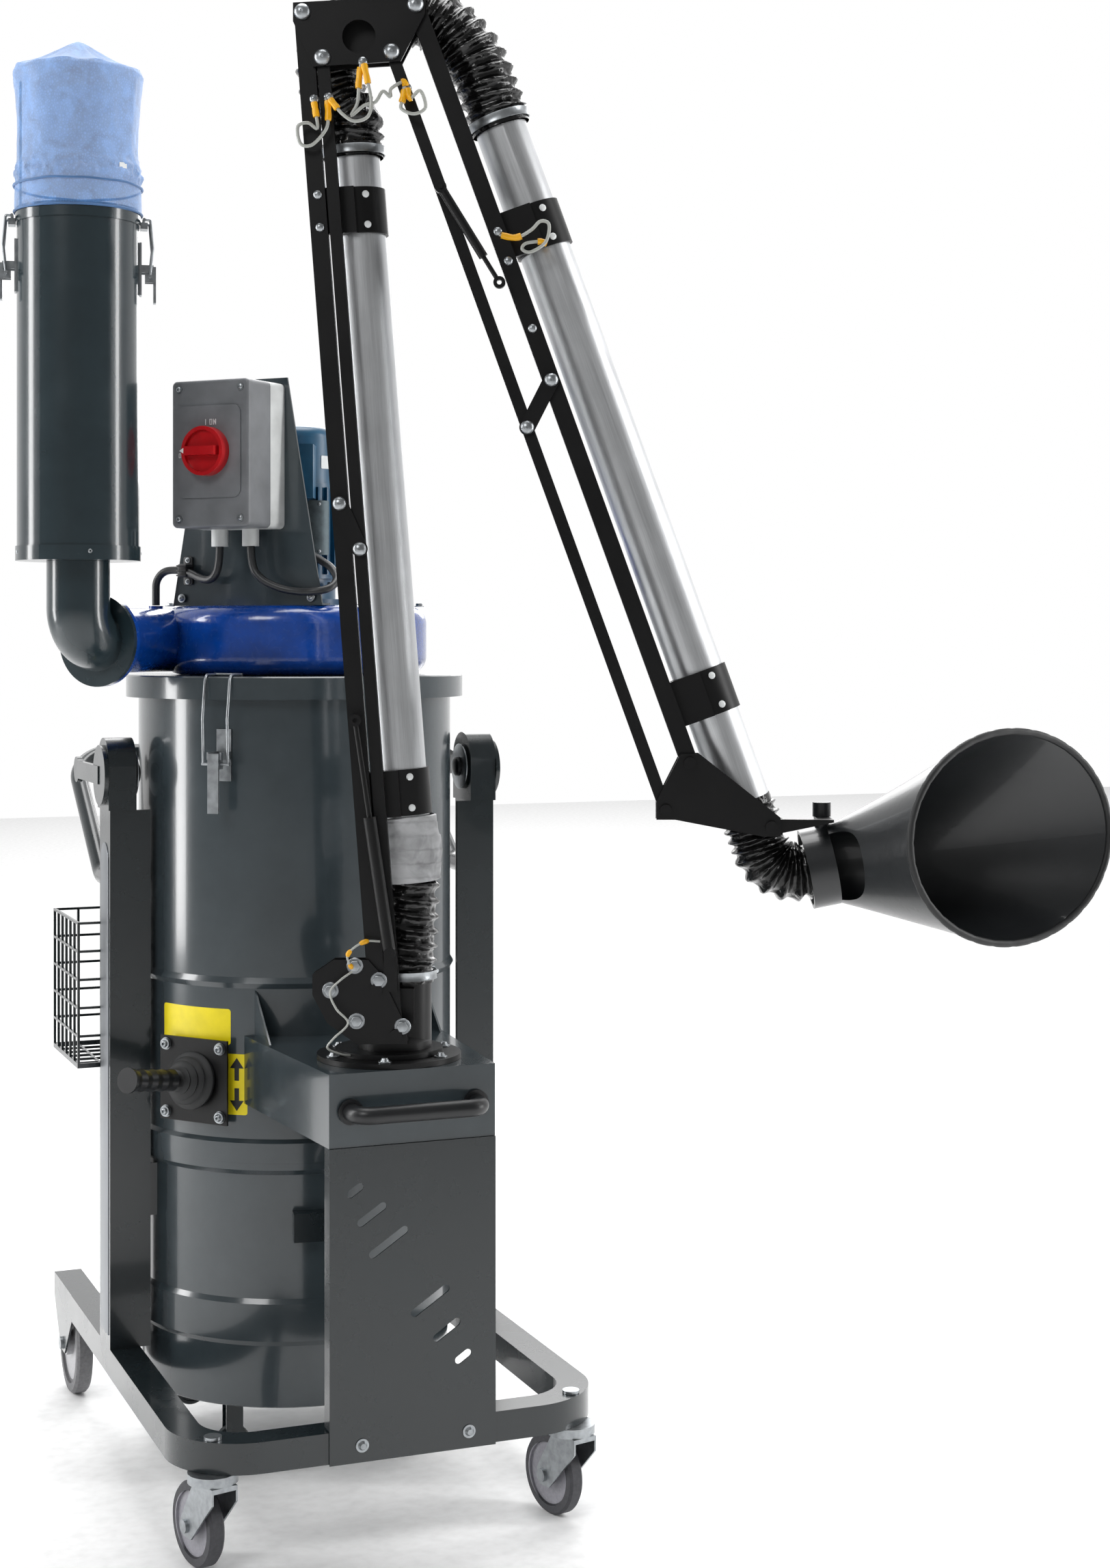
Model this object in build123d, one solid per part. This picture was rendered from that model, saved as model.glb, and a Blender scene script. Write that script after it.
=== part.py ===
from build123d import *
import math
import os

# Mobile dust collector: a wheeled drum separator with a fan on its lid, a silencer
# with a net over its outlet, a bin that drops onto its own casters, and a jointed
# suction arm that stands on the inlet box. Millimetres, +Z up, front towards -Y.
# The origin lies on the floor, under the axis of the drum.

# General values
overrun = 4.0            # how far a cutting solid runs past what it cuts
seat_gap = 0.3           # between pieces that rest on each other on different bodies
fit_gap = 0.05           # radial clearance of a turning fit
sheet = 2.0              # common sheet metal thickness

# Base frame: U-shaped rectangular tube, open at the rear
frame_half_width = 335.0
frame_front_y = -600.0
frame_rear_y = 268.0
frame_tube_width = 50.0
frame_tube_height = 46.0
frame_top = 198.0
frame_corner_radius = 120.0
frame_wall = 2.5

# Rear wheels and the folded forks that carry them
rear_wheel_radius = 90.0
rear_wheel_width = 38.0
rear_wheel_y = 357.0
rear_tread = 18.0
rear_hub_radius = 22.0
rear_axle_radius = 6.0
fork_sheet = 3.0
fork_gap = 2.5
fork_rear_y = 440.0
fork_drop = 122.0
fork_lip = 40.0
fork_foot_half = 20.0

# Front swivel casters
caster_x = 282.0
caster_y = -560.0
caster_wheel_radius = 62.5
caster_wheel_width = 32.0
caster_trail = 45.0
caster_trail_angle = 104.0      # where the wheels trail, seen from above
caster_race_radius = 37.0
caster_race_height = 14.0
caster_crown_height = 7.0
caster_leg_sheet = 3.0
caster_leg_gap = 2.0
caster_leg_foot = 16.0
caster_axle_radius = 5.0
caster_tread = 14.0
caster_hub_radius = 16.0
caster_stem_radius = 8.0

# Uprights
post_width = 40.0
post_depth = 85.0
post_front_y = -76.0
post_wall = 2.5
post_plate_width = 27.0         # flat plate on each post's inner side
post_plate_thick = 6.0
cap_bottom = 1082.0
cap_top = 1200.0
cap_overlap = 3.0
cap_radius = 46.0

# Push handle behind the uprights
handle_radius = 15.0
handle_bar_y = 350.0
handle_bar_z = 1157.0
handle_inset = 18.0             # from the base's side to the bow's axis
handle_low_z = 962.0
handle_step_y = 70.0
handle_corner = 45.0
handle_bow = 80.0

# Basket
basket_x = -328.0
basket_width = 86.0
basket_front_y = 16.0
basket_depth = 226.0
basket_top = 890.0
basket_height = 240.0
basket_wire = 4.0
basket_rows = 6
basket_pitch = 38.0
basket_hook_width = 24.0
basket_hook_height = 70.0

# Drum: separation chamber, lid and bin
drum_radius = 266.0
drum_wall = 2.0
chamber_bottom = 520.0
chamber_top = 1298.7
chamber_ring_height = 38.0
chamber_ring_out = 6.0
bead_z = 809.0
bead_half = 9.0
bead_out = 5.0
rim_height = 9.0
rim_out = 6.0
ledge_z = 1268.0
ledge_in = 16.0
ledge_thick = 3.0
lid_radius = 287.0
lid_top = 1303.0
lid_skirt = 37.0
lid_thick = 4.0
lid_hole_radius = 72.0
bin_radius = 262.0
bin_bottom = 124.0
bin_rim_height = 20.0
bin_rim_out = 9.0
bin_bead_low = 232.0
bin_bead_high = 292.0
bin_bead_slope = 8.0
bin_bead_out = 4.0
bin_drop = 20.0

# Bin fittings: two moulded handles, two side brackets, four small casters
bin_handle_angle = 260.0        # seen from above, counted from +X
bin_handle_z = 420.0
bin_handle_width = 62.0
bin_handle_height = 46.0
bin_handle_depth = 26.0
bin_handle_wall = 7.0
bin_bracket_low = 410.0
bin_bracket_high = 496.0
bin_bracket_half = 30.0
post_slide_gap = 2.0
bin_caster_place = 148.0
bin_caster_radius = 28.0
bin_caster_width = 20.0
bin_caster_plate = 4.0
bin_caster_plate_half = 28.0
bin_caster_leg = 3.0
bin_caster_gap = 1.5

# Bag filter in the chamber
filter_radius = 225.0
filter_flange_radius = 258.0
filter_flange = 6.0
filter_length = 470.0
filter_wall = 5.0

# Inlet box at the front, which carries the arm
inlet_x = 12.0
inlet_half_width = 130.0
inlet_back_spread = 30.0
inlet_front_y = -600.0
inlet_bottom = 615.0
inlet_top = 724.0
inlet_sheet = 3.0
inlet_back_y = -215.0
inlet_port_height = 90.0
inlet_port_half = 100.0
gusset_height = 74.0
gusset_length = 95.0
gusset_thick = 3.0
gusset_edge = 12.0

# Front handle and front cover
grip_radius = 13.0
grip_half = 98.0
grip_standoff = 42.0
grip_z = 668.0
grip_corner = 24.0
grip_foot_radius = 19.0
grip_foot = 6.0
cover_sheet = 2.5
cover_fold = 24.0
cover_bottom = 150.0
slot_half_width = 6.0
slot_angle = 33.0
# Slots of the cover: place across the width, place up the height and length of each,
# as shares of the cover's width and height
slot_shares = [
    (0.15, 0.864, 0.11), (0.25, 0.783, 0.20), (0.35, 0.690, 0.27),
    (0.60, 0.489, 0.27), (0.70, 0.389, 0.19), (0.80, 0.297, 0.11),
]

# Fan: scroll, outlet, motor and rotor
scroll_radius = 225.0
scroll_height = 116.0
scroll_edge = 30.0
scroll_wall = 5.0
scroll_inner_radius = 203.0
outlet_angle = 221.6            # where the outlet points, seen from above
outlet_offset = -150.0
outlet_length = 350.0
outlet_radius = 53.0
outlet_flange_radius = 75.0
outlet_flange = 7.0
motor_radius = 75.5
motor_rib_out = 7.0
motor_rib_thick = 2.6
motor_ribs = 28
motor_foot_radius = 92.0
motor_foot_thick = 12.0
motor_body_bottom = 1466.0
motor_body_top = 1628.0
motor_bore = 46.0
cowl_radius = 72.5
cowl_top = 1725.0
cowl_wall = 2.5
cowl_edge = 18.0
terminal_half = 42.0
terminal_out = 40.0
terminal_low = 1600.0
terminal_height = 90.0
terminal_angle = 248.0          # where the terminal box looks, seen from above
shaft_radius = 14.0
shaft_low = 1330.0
shaft_high = 1690.0
core_radius = 40.0
impeller_radius = 165.0
impeller_hub_radius = 30.0
impeller_bottom = 1326.0
impeller_top = 1392.0
impeller_plate = 3.0
impeller_blades = 9
impeller_blade_thick = 3.0
cooling_fan_radius = 62.0
cooling_fan_low = 1650.0
cooling_fan_high = 1676.0
cooling_blades = 7

# Silencer on its elbow, cage and net
elbow_radius = 50.0
elbow_bend = 53.0
elbow_lead = 1.0
silencer_radius = 96.0
silencer_rise = 69.0            # from the scroll's top to the shell
silencer_top = 2047.0
silencer_band = 23.0
silencer_band_out = 2.5
cage_wire = 2.6
cage_top = 2255.0
cage_bars = 6
cage_sink = 18.0
bar_share = 0.85
net_skin = 1.6
net_bottom = 2040.0
net_top = 2318.0
net_crown = 2266.0
net_crown_radius = 103.0
net_hem_height = 42.0
net_hem_out = 2.0
net_waist_out = 4.0
net_peak_radius = 20.0

# Switch on its bracket
bracket_reach = 150.0
bracket_foot_half = 148.0
bracket_head_half = 80.0
bracket_top = 1795.0
bracket_fold = 24.0
bracket_sheet = 3.0
switch_half_width = 75.0
switch_low = 1545.0
switch_high = 1785.0
switch_base_depth = 42.0
switch_cover_depth = 64.0
switch_edge = 9.0
switch_panel_inset = 14.0
switch_panel_out = 3.0
knob_z = 1668.0
knob_radius = 40.0
knob_depth = 20.0
knob_wall = 6.0
knob_grip_half = 30.0
knob_grip_width = 7.0
knob_grip_out = 10.0
gland_radius = 14.0
gland_height = 28.0
gland_left = -34.0
gland_right = 27.0
gland_out = 28.0
cable_boss_radius = 12.0
cable_radius = 6.5

# Shaker on the left front of the chamber
shaker_angle = 218.0
shaker_z = 649.0
shaker_plate_half = 68.0
shaker_plate_thick = 4.0
shaker_stand = 12.0
shaker_boot_radius = 45.0
shaker_boot_height = 40.0
shaker_boot_tip = 17.0
shaker_boot_rings = 4
boot_gap = 0.8
shaker_rod_radius = 9.0
shaker_grip_radius = 18.0
shaker_grip_start = 58.0
shaker_grip_end = 160.0
shaker_disc_radius = 20.0
shaker_disc = 5.0
shaker_tilt = 9.0

# Lift levers on the caps of the uprights
lever_disc_radius = 50.0
lever_disc = 7.0
lever_length = 190.0
lever_width = 30.0
lever_thick = 9.0
lever_z = 1138.0
lever_tip_radius = 22.0
hub_radius = 9.0

# Toggle latches
latch_angle = 229.0             # on the drum, seen from above
latch_pivot_out = 32.0
latch_pivot_z = 1176.0
latch_arm = 13.0
latch_lever_length = 92.0
latch_lever_thick = 4.0
latch_pin_radius = 3.0
latch_wire = 2.6
latch_loop_half = 22.0
latch_hook_in = 34.0
latch_hook_corner = 10.0
hook_corner_share = 0.4
latch_plate_half = 13.0
latch_plate_length = 84.0
latch_ear = 3.0
silencer_pivot_z = 1956.0
silencer_pivot_out = 16.0
silencer_lever_length = 54.0
silencer_hook_radius = 7.0
silencer_catch_out = 13.0
silencer_catch_z = 2030.0
silencer_catch_thick = 10.0

# Fasteners
bolt_radius = 7.0
bolt_height = 5.0
washer_out = 3.0
washer_thick = 1.5
dome_share = 0.6
flange_bolt_start = 8.0
shaker_bolt_inset = 13.0
cover_bolt_shares = (0.192, 0.835)
silencer_latch_turns = (-52.0, 128.0)

# Arm: foot, and the plane that its bars move in. Local x runs along the arm's reach,
# local y away from the side that the bars are on, z up.
arm_x = 10.0
arm_y = -490.0
arm_turn = -22.0
flange_radius = 110.0
flange_thick = 8.0
flange_bolt_circle = 94.0
flange_bolts = 6
turntable_radius = 82.0
turntable_thick = 8.0
pipe_radius = 40.0
pipe_wall = 1.5
stub_top = 862.0
bar_near = -72.0                # outer face of the bars
bar_deep = 20.0
bar_wide = 26.0
tie_wide = 18.0
bar_wall = 2.0
plate_gap = 1.5
plate_thick = 4.0
pivot_radius = 5.0
pivot_head_radius = 9.0
pivot_head = 5.0
shoulder_x = -13.6
shoulder_z = 838.7
lower_link_x = 30.0
lower_link_z = -68.0
lower_reach_x = -111.0
lower_reach_z = 1465.0
lower_mid_share = 0.497
lower_pipe_offset = 55.0
lower_pipe_start = 165.0
lower_pipe_end = 1258.0
elbow_x = 45.0
elbow_z = 2315.0
outer_link_x = -36.0
outer_link_z = -71.0
outer_reach_x = 411.0
outer_reach_z = -1137.0
outer_mid_share = 0.495
outer_pipe_offset = 61.0
outer_pipe_start = 204.0
outer_pipe_end = 1296.0
elbow_plate_edge = 14.0
elbow_hole_radius = 25.0
elbow_hole_drop = 48.0
hose_radius = 46.0
hose_valley = 42.0
hose_bore = 40.3
hose_cuff = 24.0
elbow_hose_lead = 60.0
elbow_hose_lead_out = 70.0
elbow_hose_ribs = 26
lower_hose_ribs = 9
clamp_width = 70.0
clamp_thick = 4.0
lower_clamp_shares = (0.113, 0.923)
outer_clamp_shares = (0.15, 0.84)
tie_inset = 1.0

hood_turn_x = 662.0
lower_hose_cuff = 80.0
rib_shares = (0.12, 0.34, 0.66, 0.88)
clamp_reach = 10.0
mid_link_wide = 24.0
link_slack = 0.4
elbow_hose_poles = [(-190.0, 2320.0), (85.0, 2410.0)]
lower_hose_lead = 45.0
shoulder_plate_outline = [
    (-96.0, 22.0), (-64.0, 44.0), (-12.0, 44.0), (6.0, 24.0), (46.0, -60.0),
    (46.0, -82.0), (-30.0, -82.0), (-74.0, -50.0), (-96.0, -8.0),
]
bowl_radius = 56.0
bowl_height = 24.0
bowl_x = 9.0
stub_x = 25.0
lug_half = 16.0
lug_low = 80.0
lug_high = 26.0
ear_half = 10.0
ear_drop = 60.0
edge_half = 11.0

# Gas struts of the arm
strut_tube_radius = 9.5
strut_rod_radius = 4.0
strut_eye_radius = 9.0
strut_pin_radius = 3.5
strut_bore_gap = 0.6
strut_rod_inside = 120.0
outer_strut_rod_inside = 60.0
strut_top_along = 405.0
strut_foot_x = 20.9
strut_foot_z = 56.5
strut_tube_length = 205.0
outer_strut_top_along = 219.0
outer_strut_foot_along = 437.0
outer_strut_foot_in = 24.0
outer_strut_tube_radius = 7.0
outer_strut_rod_radius = 3.5
outer_strut_tube_length = 122.0

# Hood at the end of the arm
hood_pivot_x = 578.0
hood_pivot_z = 1082.0
hood_neck_x = 634.0
hood_neck_z = 1010.0
hood_neck_rise = 11.5
hood_neck_radius = 58.0
hood_hose_bend = 52.0
hood_hose_ribs = 12
hood_collar_length = 42.0
hood_collar_radius = 61.0
hood_mouth_x = 931.0
hood_mouth_z = 1070.0
hood_mouth_y = -118.0
hood_mouth_half_width = 192.0
hood_mouth_half_height = 158.0
hood_mouth_turn = -60.0
hood_wall = 3.0
hood_boss_top = 1088.0
hood_knob_radius = 14.0
knob_stem = 22.0
hose_overlap_share = 0.1


# Helpers
def block(x0, x1, y0, y1, z0, z1):
    """A box between two corners."""
    size = Box(abs(x1 - x0), abs(y1 - y0), abs(z1 - z0))
    return Pos((x0 + x1) / 2, (y0 + y1) / 2, (z0 + z1) / 2) * size


def disc(radius, z0, z1, x=0, y=0):
    """An upright cylinder."""
    return Pos(x, y, (z0 + z1) / 2) * Cylinder(radius, abs(z1 - z0))


def rod(start, end, radius):
    """A round bar from one point to another."""
    a = Vector(*start)
    b = Vector(*end)
    plane = Plane(origin=a, z_dir=b - a)
    return extrude(plane * Circle(radius), amount=(b - a).length)


def turned(profile):
    """A solid of revolution about Z from (radius, height) points."""
    return revolve(make_face(Plane.XZ * Polyline(*profile, close=True)), Axis.Z)


def bent_rod(points, corners, radius):
    """A round bar along straight runs that are joined by tangent arcs."""
    path = FilletPolyline(*points, radius=corners)
    section = Plane(origin=path @ 0, z_dir=path % 0) * Circle(radius)
    return sweep(section, path=path)


def side_plate(points, y0, y1):
    """A flat plate in the arm's plane, from (x, z) points, between two depths."""
    face = make_face(Polyline(*[(x, y0, z) for x, z in points], close=True))
    return extrude(face, amount=y1 - y0, dir=(0, 1, 0))


def around(shape, angle):
    """Turns a shape about the Z axis; it is drawn pointing along +X."""
    return Rot(0, 0, angle) * shape


def group(*shapes):
    """Separate solids of one node."""
    solids = []
    for shape in shapes:
        solids.extend(shape.solids())
    return Compound(children=solids)


def both_sides(shape):
    """The shape and its mirror image across the drum's middle plane."""
    return [shape, mirror(shape, about=Plane.YZ)]


# Base frame with the folded forks of the rear wheels
frame_bottom = frame_top - frame_tube_height
rear_wheel_x = frame_half_width - frame_tube_width / 2
fork_inner = rear_wheel_width / 2 + fork_gap
fork_outer = fork_inner + fork_sheet


def frame_outline(inset):
    half = frame_half_width - inset
    front = frame_front_y + inset
    corner = frame_corner_radius - inset
    rect = Pos(0, (front + frame_rear_y) / 2) * Rectangle(2 * half, frame_rear_y - front)
    front_corners = rect.vertices().group_by(Axis.Y)[0]
    return fillet(front_corners, corner)


def make_base_frame():
    solid_tube = extrude(frame_outline(0) - inner_outline(frame_tube_width), amount=frame_tube_height)
    channel_face = frame_outline(frame_wall) - inner_outline(frame_tube_width - frame_wall)
    channel = extrude(channel_face, amount=frame_tube_height - 2 * frame_wall)
    tube = Pos(0, 0, frame_bottom) * solid_tube
    tube -= Pos(0, 0, frame_bottom + frame_wall) * channel
    stems = disc(caster_stem_radius + fit_gap, frame_bottom - overrun, frame_top + overrun,
                 caster_x, caster_y)
    for stem in both_sides(stems):
        tube -= stem
    forks = both_sides(make_fork())
    return tube + forks[0] + forks[1]


def inner_outline(inset):
    half = frame_half_width - inset
    front = frame_front_y + inset
    rear = frame_rear_y + overrun
    rect = Pos(0, (front + rear) / 2) * Rectangle(2 * half, rear - front)
    front_corners = rect.vertices().group_by(Axis.Y)[0]
    return fillet(front_corners, frame_corner_radius - inset)


def make_fork():
    """The right-hand fork: a folded sheet over the wheel, butted to the tube's end."""
    low = frame_top - fork_drop
    side = [
        (frame_rear_y, frame_top), (fork_rear_y, frame_top), (fork_rear_y, frame_top - fork_lip),
        (rear_wheel_y + fork_foot_half, low), (rear_wheel_y - fork_foot_half, low),
        (frame_rear_y, frame_bottom),
    ]
    outline = make_face(Polyline(*[(0, y, z) for y, z in side], close=True))
    whole = extrude(outline, amount=2 * fork_outer, dir=(1, 0, 0))
    inside = block(fork_sheet, 2 * fork_outer - fork_sheet, frame_rear_y + fork_sheet,
                   fork_rear_y + overrun, low - overrun, frame_top - fork_sheet)
    fork = Pos(rear_wheel_x - fork_outer, 0, 0) * (whole - inside)
    bore = rod((rear_wheel_x - fork_outer - overrun, rear_wheel_y, rear_wheel_radius),
               (rear_wheel_x + fork_outer + overrun, rear_wheel_y, rear_wheel_radius),
               rear_axle_radius + fit_gap)
    return fork - bore


def make_wheel(radius, width, tread, hub_radius_, bore):
    """A wheel about X at the origin: tyre, thin web and hub with a bore."""
    half = width / 2
    web = width / 4
    profile = [
        (bore, -half), (hub_radius_, -half), (hub_radius_, -web), (radius - tread, -web),
        (radius - tread, -half + web / 2), (radius - tread / 4, -half + web / 2), (radius, -web),
        (radius, web), (radius - tread / 4, half - web / 2), (radius - tread, half - web / 2),
        (radius - tread, web), (hub_radius_, web), (hub_radius_, half), (bore, half),
    ]
    return Rot(0, 90, 0) * turned(profile)


def make_rear_wheel():
    wheel = make_wheel(rear_wheel_radius, rear_wheel_width, rear_tread, rear_hub_radius,
                       rear_axle_radius + fit_gap)
    return Pos(rear_wheel_x, rear_wheel_y, rear_wheel_radius) * wheel


def make_rear_axle():
    reach = fork_outer + bolt_height
    axle = rod((rear_wheel_x - reach, rear_wheel_y, rear_wheel_radius),
               (rear_wheel_x + reach, rear_wheel_y, rear_wheel_radius), rear_axle_radius)
    heads = [rod((rear_wheel_x + s * fork_outer, rear_wheel_y, rear_wheel_radius),
                 (rear_wheel_x + s * reach, rear_wheel_y, rear_wheel_radius),
                 rear_axle_radius + bolt_height) for s in (-1, 1)]
    return axle + heads[0] + heads[1]


# Front casters, drawn at the origin and then set under the frame's corners
caster_leg_inner = caster_wheel_width / 2 + caster_leg_gap
caster_leg_outer = caster_leg_inner + caster_leg_sheet
caster_race_top = frame_bottom - seat_gap
caster_race_low = caster_race_top - caster_race_height
caster_crown_low = caster_race_low - caster_crown_height


def caster_place(side):
    return Pos(side * caster_x, caster_y, 0) * Rot(0, 0, caster_trail_angle)


def make_caster_fork(side):
    """Swivel head, stem, crown and legs; the wheel trails along local +X."""
    race = disc(caster_race_radius, caster_race_low, caster_race_top)
    stem = disc(caster_stem_radius, caster_race_top, frame_top + bolt_height)
    stem += disc(caster_stem_radius + bolt_height, frame_top + seat_gap, frame_top + bolt_height)
    crown = block(-caster_race_radius, caster_race_radius / 2, -caster_leg_outer, caster_leg_outer,
                  caster_crown_low, caster_race_low)
    outline = [
        (-caster_race_radius, caster_race_low), (caster_race_radius / 2, caster_race_low),
        (caster_trail + caster_leg_foot, caster_wheel_radius + caster_leg_foot / 2),
        (caster_trail + caster_leg_foot / 2, caster_wheel_radius - caster_leg_foot),
        (caster_trail - caster_leg_foot, caster_wheel_radius - caster_leg_foot),
        (-caster_race_radius, caster_crown_low - caster_leg_foot),
    ]
    fork = race + stem + crown
    for low, high in ((-caster_leg_outer, -caster_leg_inner), (caster_leg_inner, caster_leg_outer)):
        fork += side_plate(outline, low, high)
    reach = caster_leg_outer + bolt_height
    axle = rod((caster_trail, -reach, caster_wheel_radius), (caster_trail, reach, caster_wheel_radius),
               caster_axle_radius)
    for s in (-1, 1):
        axle += rod((caster_trail, s * caster_leg_outer, caster_wheel_radius),
                    (caster_trail, s * reach, caster_wheel_radius), caster_axle_radius + bolt_height)
    return caster_place(side) * (fork + axle)


def make_caster_wheel(side):
    wheel = make_wheel(caster_wheel_radius, caster_wheel_width, caster_tread, caster_hub_radius,
                       caster_axle_radius + fit_gap)
    return caster_place(side) * Pos(caster_trail, 0, caster_wheel_radius) * Rot(0, 0, 90) * wheel


# Uprights: hollow posts and their rounded caps
post_rear_y = post_front_y + post_depth
post_mid_y = (post_front_y + post_rear_y) / 2
post_inner_x = frame_half_width - post_width
handle_x = frame_half_width - handle_inset


def make_uprights():
    post = block(post_inner_x, frame_half_width, post_front_y, post_rear_y, frame_top, cap_bottom)
    hollow = block(post_inner_x + post_wall, frame_half_width - post_wall, post_front_y + post_wall,
                   post_rear_y - post_wall, frame_top - overrun, cap_bottom + overrun)
    post -= hollow
    cap_mid = cap_top - cap_radius
    cap = block(post_inner_x - cap_overlap, frame_half_width + cap_overlap, post_mid_y - cap_radius,
                post_mid_y + cap_radius, cap_bottom, cap_mid)
    cap += rod((post_inner_x - cap_overlap, post_mid_y, cap_mid),
               (frame_half_width + cap_overlap, post_mid_y, cap_mid), cap_radius)
    cap -= rod((frame_half_width - cap_overlap, post_mid_y, lever_z),
               (frame_half_width + cap_overlap + overrun, post_mid_y, lever_z), hub_radius + fit_gap)
    post += block(post_inner_x - post_plate_width, post_inner_x + post_wall, post_front_y,
                  post_front_y + post_plate_thick, frame_top, cap_bottom)
    return group(*both_sides(post), *both_sides(cap))


def make_push_handle():
    """A bow of tube behind the uprights, with its ends on their rear faces."""
    left = [
        (-handle_x, post_rear_y + seat_gap, handle_low_z),
        (-handle_x, post_rear_y + handle_step_y, handle_low_z),
        (-handle_x, handle_bar_y, handle_bar_z),
    ]
    right = [(-x, y, z) for x, y, z in reversed(left)]
    corners = [handle_corner, handle_bow, handle_bow, handle_corner]
    return bent_rod(left + right, corners, handle_radius)


def make_basket():
    """Wire basket on the back of the left upright, open at the top."""
    wire = basket_wire
    low = basket_top - basket_height
    left = basket_x - basket_width / 2
    right = basket_x + basket_width / 2
    rear = basket_front_y + basket_depth
    basket = None
    for row in range(basket_rows):
        z = basket_top - row * (basket_height - wire) / (basket_rows - 1)
        ring = block(left, right, basket_front_y, rear, z - wire, z)
        ring -= block(left + wire, right - wire, basket_front_y + wire, rear - wire,
                      z - wire - overrun, z + overrun)
        basket = ring if basket is None else basket + ring
    columns = round(basket_width / basket_pitch)
    for i in range(columns + 1):
        x = left + i * (basket_width - wire) / columns
        basket += block(x, x + wire, basket_front_y, basket_front_y + wire, low, basket_top)
        basket += block(x, x + wire, rear - wire, rear, low, basket_top)
        basket += block(x, x + wire, basket_front_y, rear, low - wire, low)
    columns = round(basket_depth / basket_pitch)
    for i in range(columns + 1):
        y = basket_front_y + i * (basket_depth - wire) / columns
        basket += block(left, left + wire, y, y + wire, low, basket_top)
        basket += block(right - wire, right, y, y + wire, low, basket_top)
        basket += block(left, right, y, y + wire, low - wire, low)
    hook_x = -frame_half_width + post_width / 2
    hook = block(hook_x - basket_hook_width / 2, hook_x + basket_hook_width / 2,
                 post_rear_y + seat_gap, basket_front_y + wire,
                 basket_top - basket_hook_height, basket_top)
    return basket + hook


# Drum
def make_chamber():
    r = drum_radius
    ring_top = chamber_bottom + chamber_ring_height
    outer = [
        (r - drum_wall, chamber_bottom), (r + chamber_ring_out, chamber_bottom),
        (r + chamber_ring_out, ring_top - chamber_ring_out), (r, ring_top),
        (r, bead_z - bead_half), (r + bead_out, bead_z), (r, bead_z + bead_half),
        (r, chamber_top - rim_height - rim_out), (r + rim_out, chamber_top - rim_height),
        (r + rim_out, chamber_top), (r - drum_wall, chamber_top),
        (r - drum_wall, ledge_z), (r - drum_wall - ledge_in, ledge_z),
        (r - drum_wall - ledge_in, ledge_z - ledge_thick), (r - drum_wall, ledge_z - ledge_thick),
        (r - drum_wall, bead_z + bead_half), (r + bead_out - drum_wall, bead_z),
        (r - drum_wall, bead_z - bead_half),
    ]
    shell = turned(outer)
    port_low = inlet_bottom + (inlet_top - inlet_bottom - inlet_port_height) / 2
    shell -= block(inlet_x - inlet_port_half, inlet_x + inlet_port_half, -drum_radius - overrun,
                   0, port_low, port_low + inlet_port_height)
    shaker_hole = rod((0, 0, shaker_z), (drum_radius + overrun, 0, shaker_z),
                      shaker_rod_radius + shaker_boot_tip)
    shell -= around(shaker_hole, shaker_angle)
    return shell


def make_lid():
    low = lid_top - lid_skirt
    profile = [
        (lid_hole_radius, lid_top - lid_thick), (lid_radius - lid_thick, lid_top - lid_thick),
        (lid_radius - lid_thick, low), (lid_radius, low), (lid_radius, lid_top - lid_thick / 2),
        (lid_radius - lid_thick / 2, lid_top), (lid_hole_radius, lid_top),
    ]
    return turned(profile)


def make_filter():
    base = ledge_z + seat_gap
    low = base - filter_length
    r = filter_radius
    profile = [
        (0, low), (r, low), (r, base), (filter_flange_radius, base),
        (filter_flange_radius, base + filter_flange), (r - filter_wall, base + filter_flange),
        (r - filter_wall, low + filter_wall), (0, low + filter_wall),
    ]
    return turned(profile)


def make_bin():
    r = bin_radius
    wall = drum_wall
    top = chamber_bottom - seat_gap
    profile = [
        (0, bin_bottom), (r - wall, bin_bottom), (r, bin_bottom + wall),
        (r, bin_bead_low - bin_bead_slope), (r + bin_bead_out, bin_bead_low),
        (r + bin_bead_out, bin_bead_high), (r, bin_bead_high + bin_bead_slope),
        (r, top - bin_rim_height), (r + bin_rim_out, top - bin_rim_height + bin_rim_out),
        (r + bin_rim_out, top), (r - wall, top),
        (r - wall, bin_bead_high + bin_bead_slope), (r + bin_bead_out - wall, bin_bead_high),
        (r + bin_bead_out - wall, bin_bead_low), (r - wall, bin_bead_low - bin_bead_slope),
        (r - wall, bin_bottom + wall), (0, bin_bottom + wall),
    ]
    return turned(profile)


def make_bin_fittings():
    """Moulded handles, side brackets and small casters, all fixed to the bin."""
    pieces = []
    r = bin_radius
    half = bin_handle_width / 2
    low = bin_handle_z - bin_handle_height / 2
    for angle in (bin_handle_angle, bin_handle_angle + 180):
        shell = block(r - bin_handle_depth, r + bin_handle_depth, -half, half, low,
                      low + bin_handle_height)
        pocket = block(0, r + bin_handle_depth - bin_handle_wall, -half + bin_handle_wall,
                       half + overrun, low + bin_handle_wall,
                       low + bin_handle_height - bin_handle_wall)
        shell = shell - pocket - disc(r + seat_gap, low - overrun, low + bin_handle_height + overrun)
        pieces.append(around(shell, angle))
    right = block(r - bin_handle_depth, post_inner_x - post_slide_gap, post_mid_y - bin_bracket_half,
                  post_mid_y + bin_bracket_half, bin_bracket_low, bin_bracket_high)
    right -= disc(r + seat_gap, bin_bracket_low - overrun, bin_bracket_high + overrun)
    pieces.extend(both_sides(right))
    for sx in (-1, 1):
        for sy in (-1, 1):
            pieces.extend(make_bin_caster(sx * bin_caster_place, sy * bin_caster_place))
    return group(*pieces)


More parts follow.
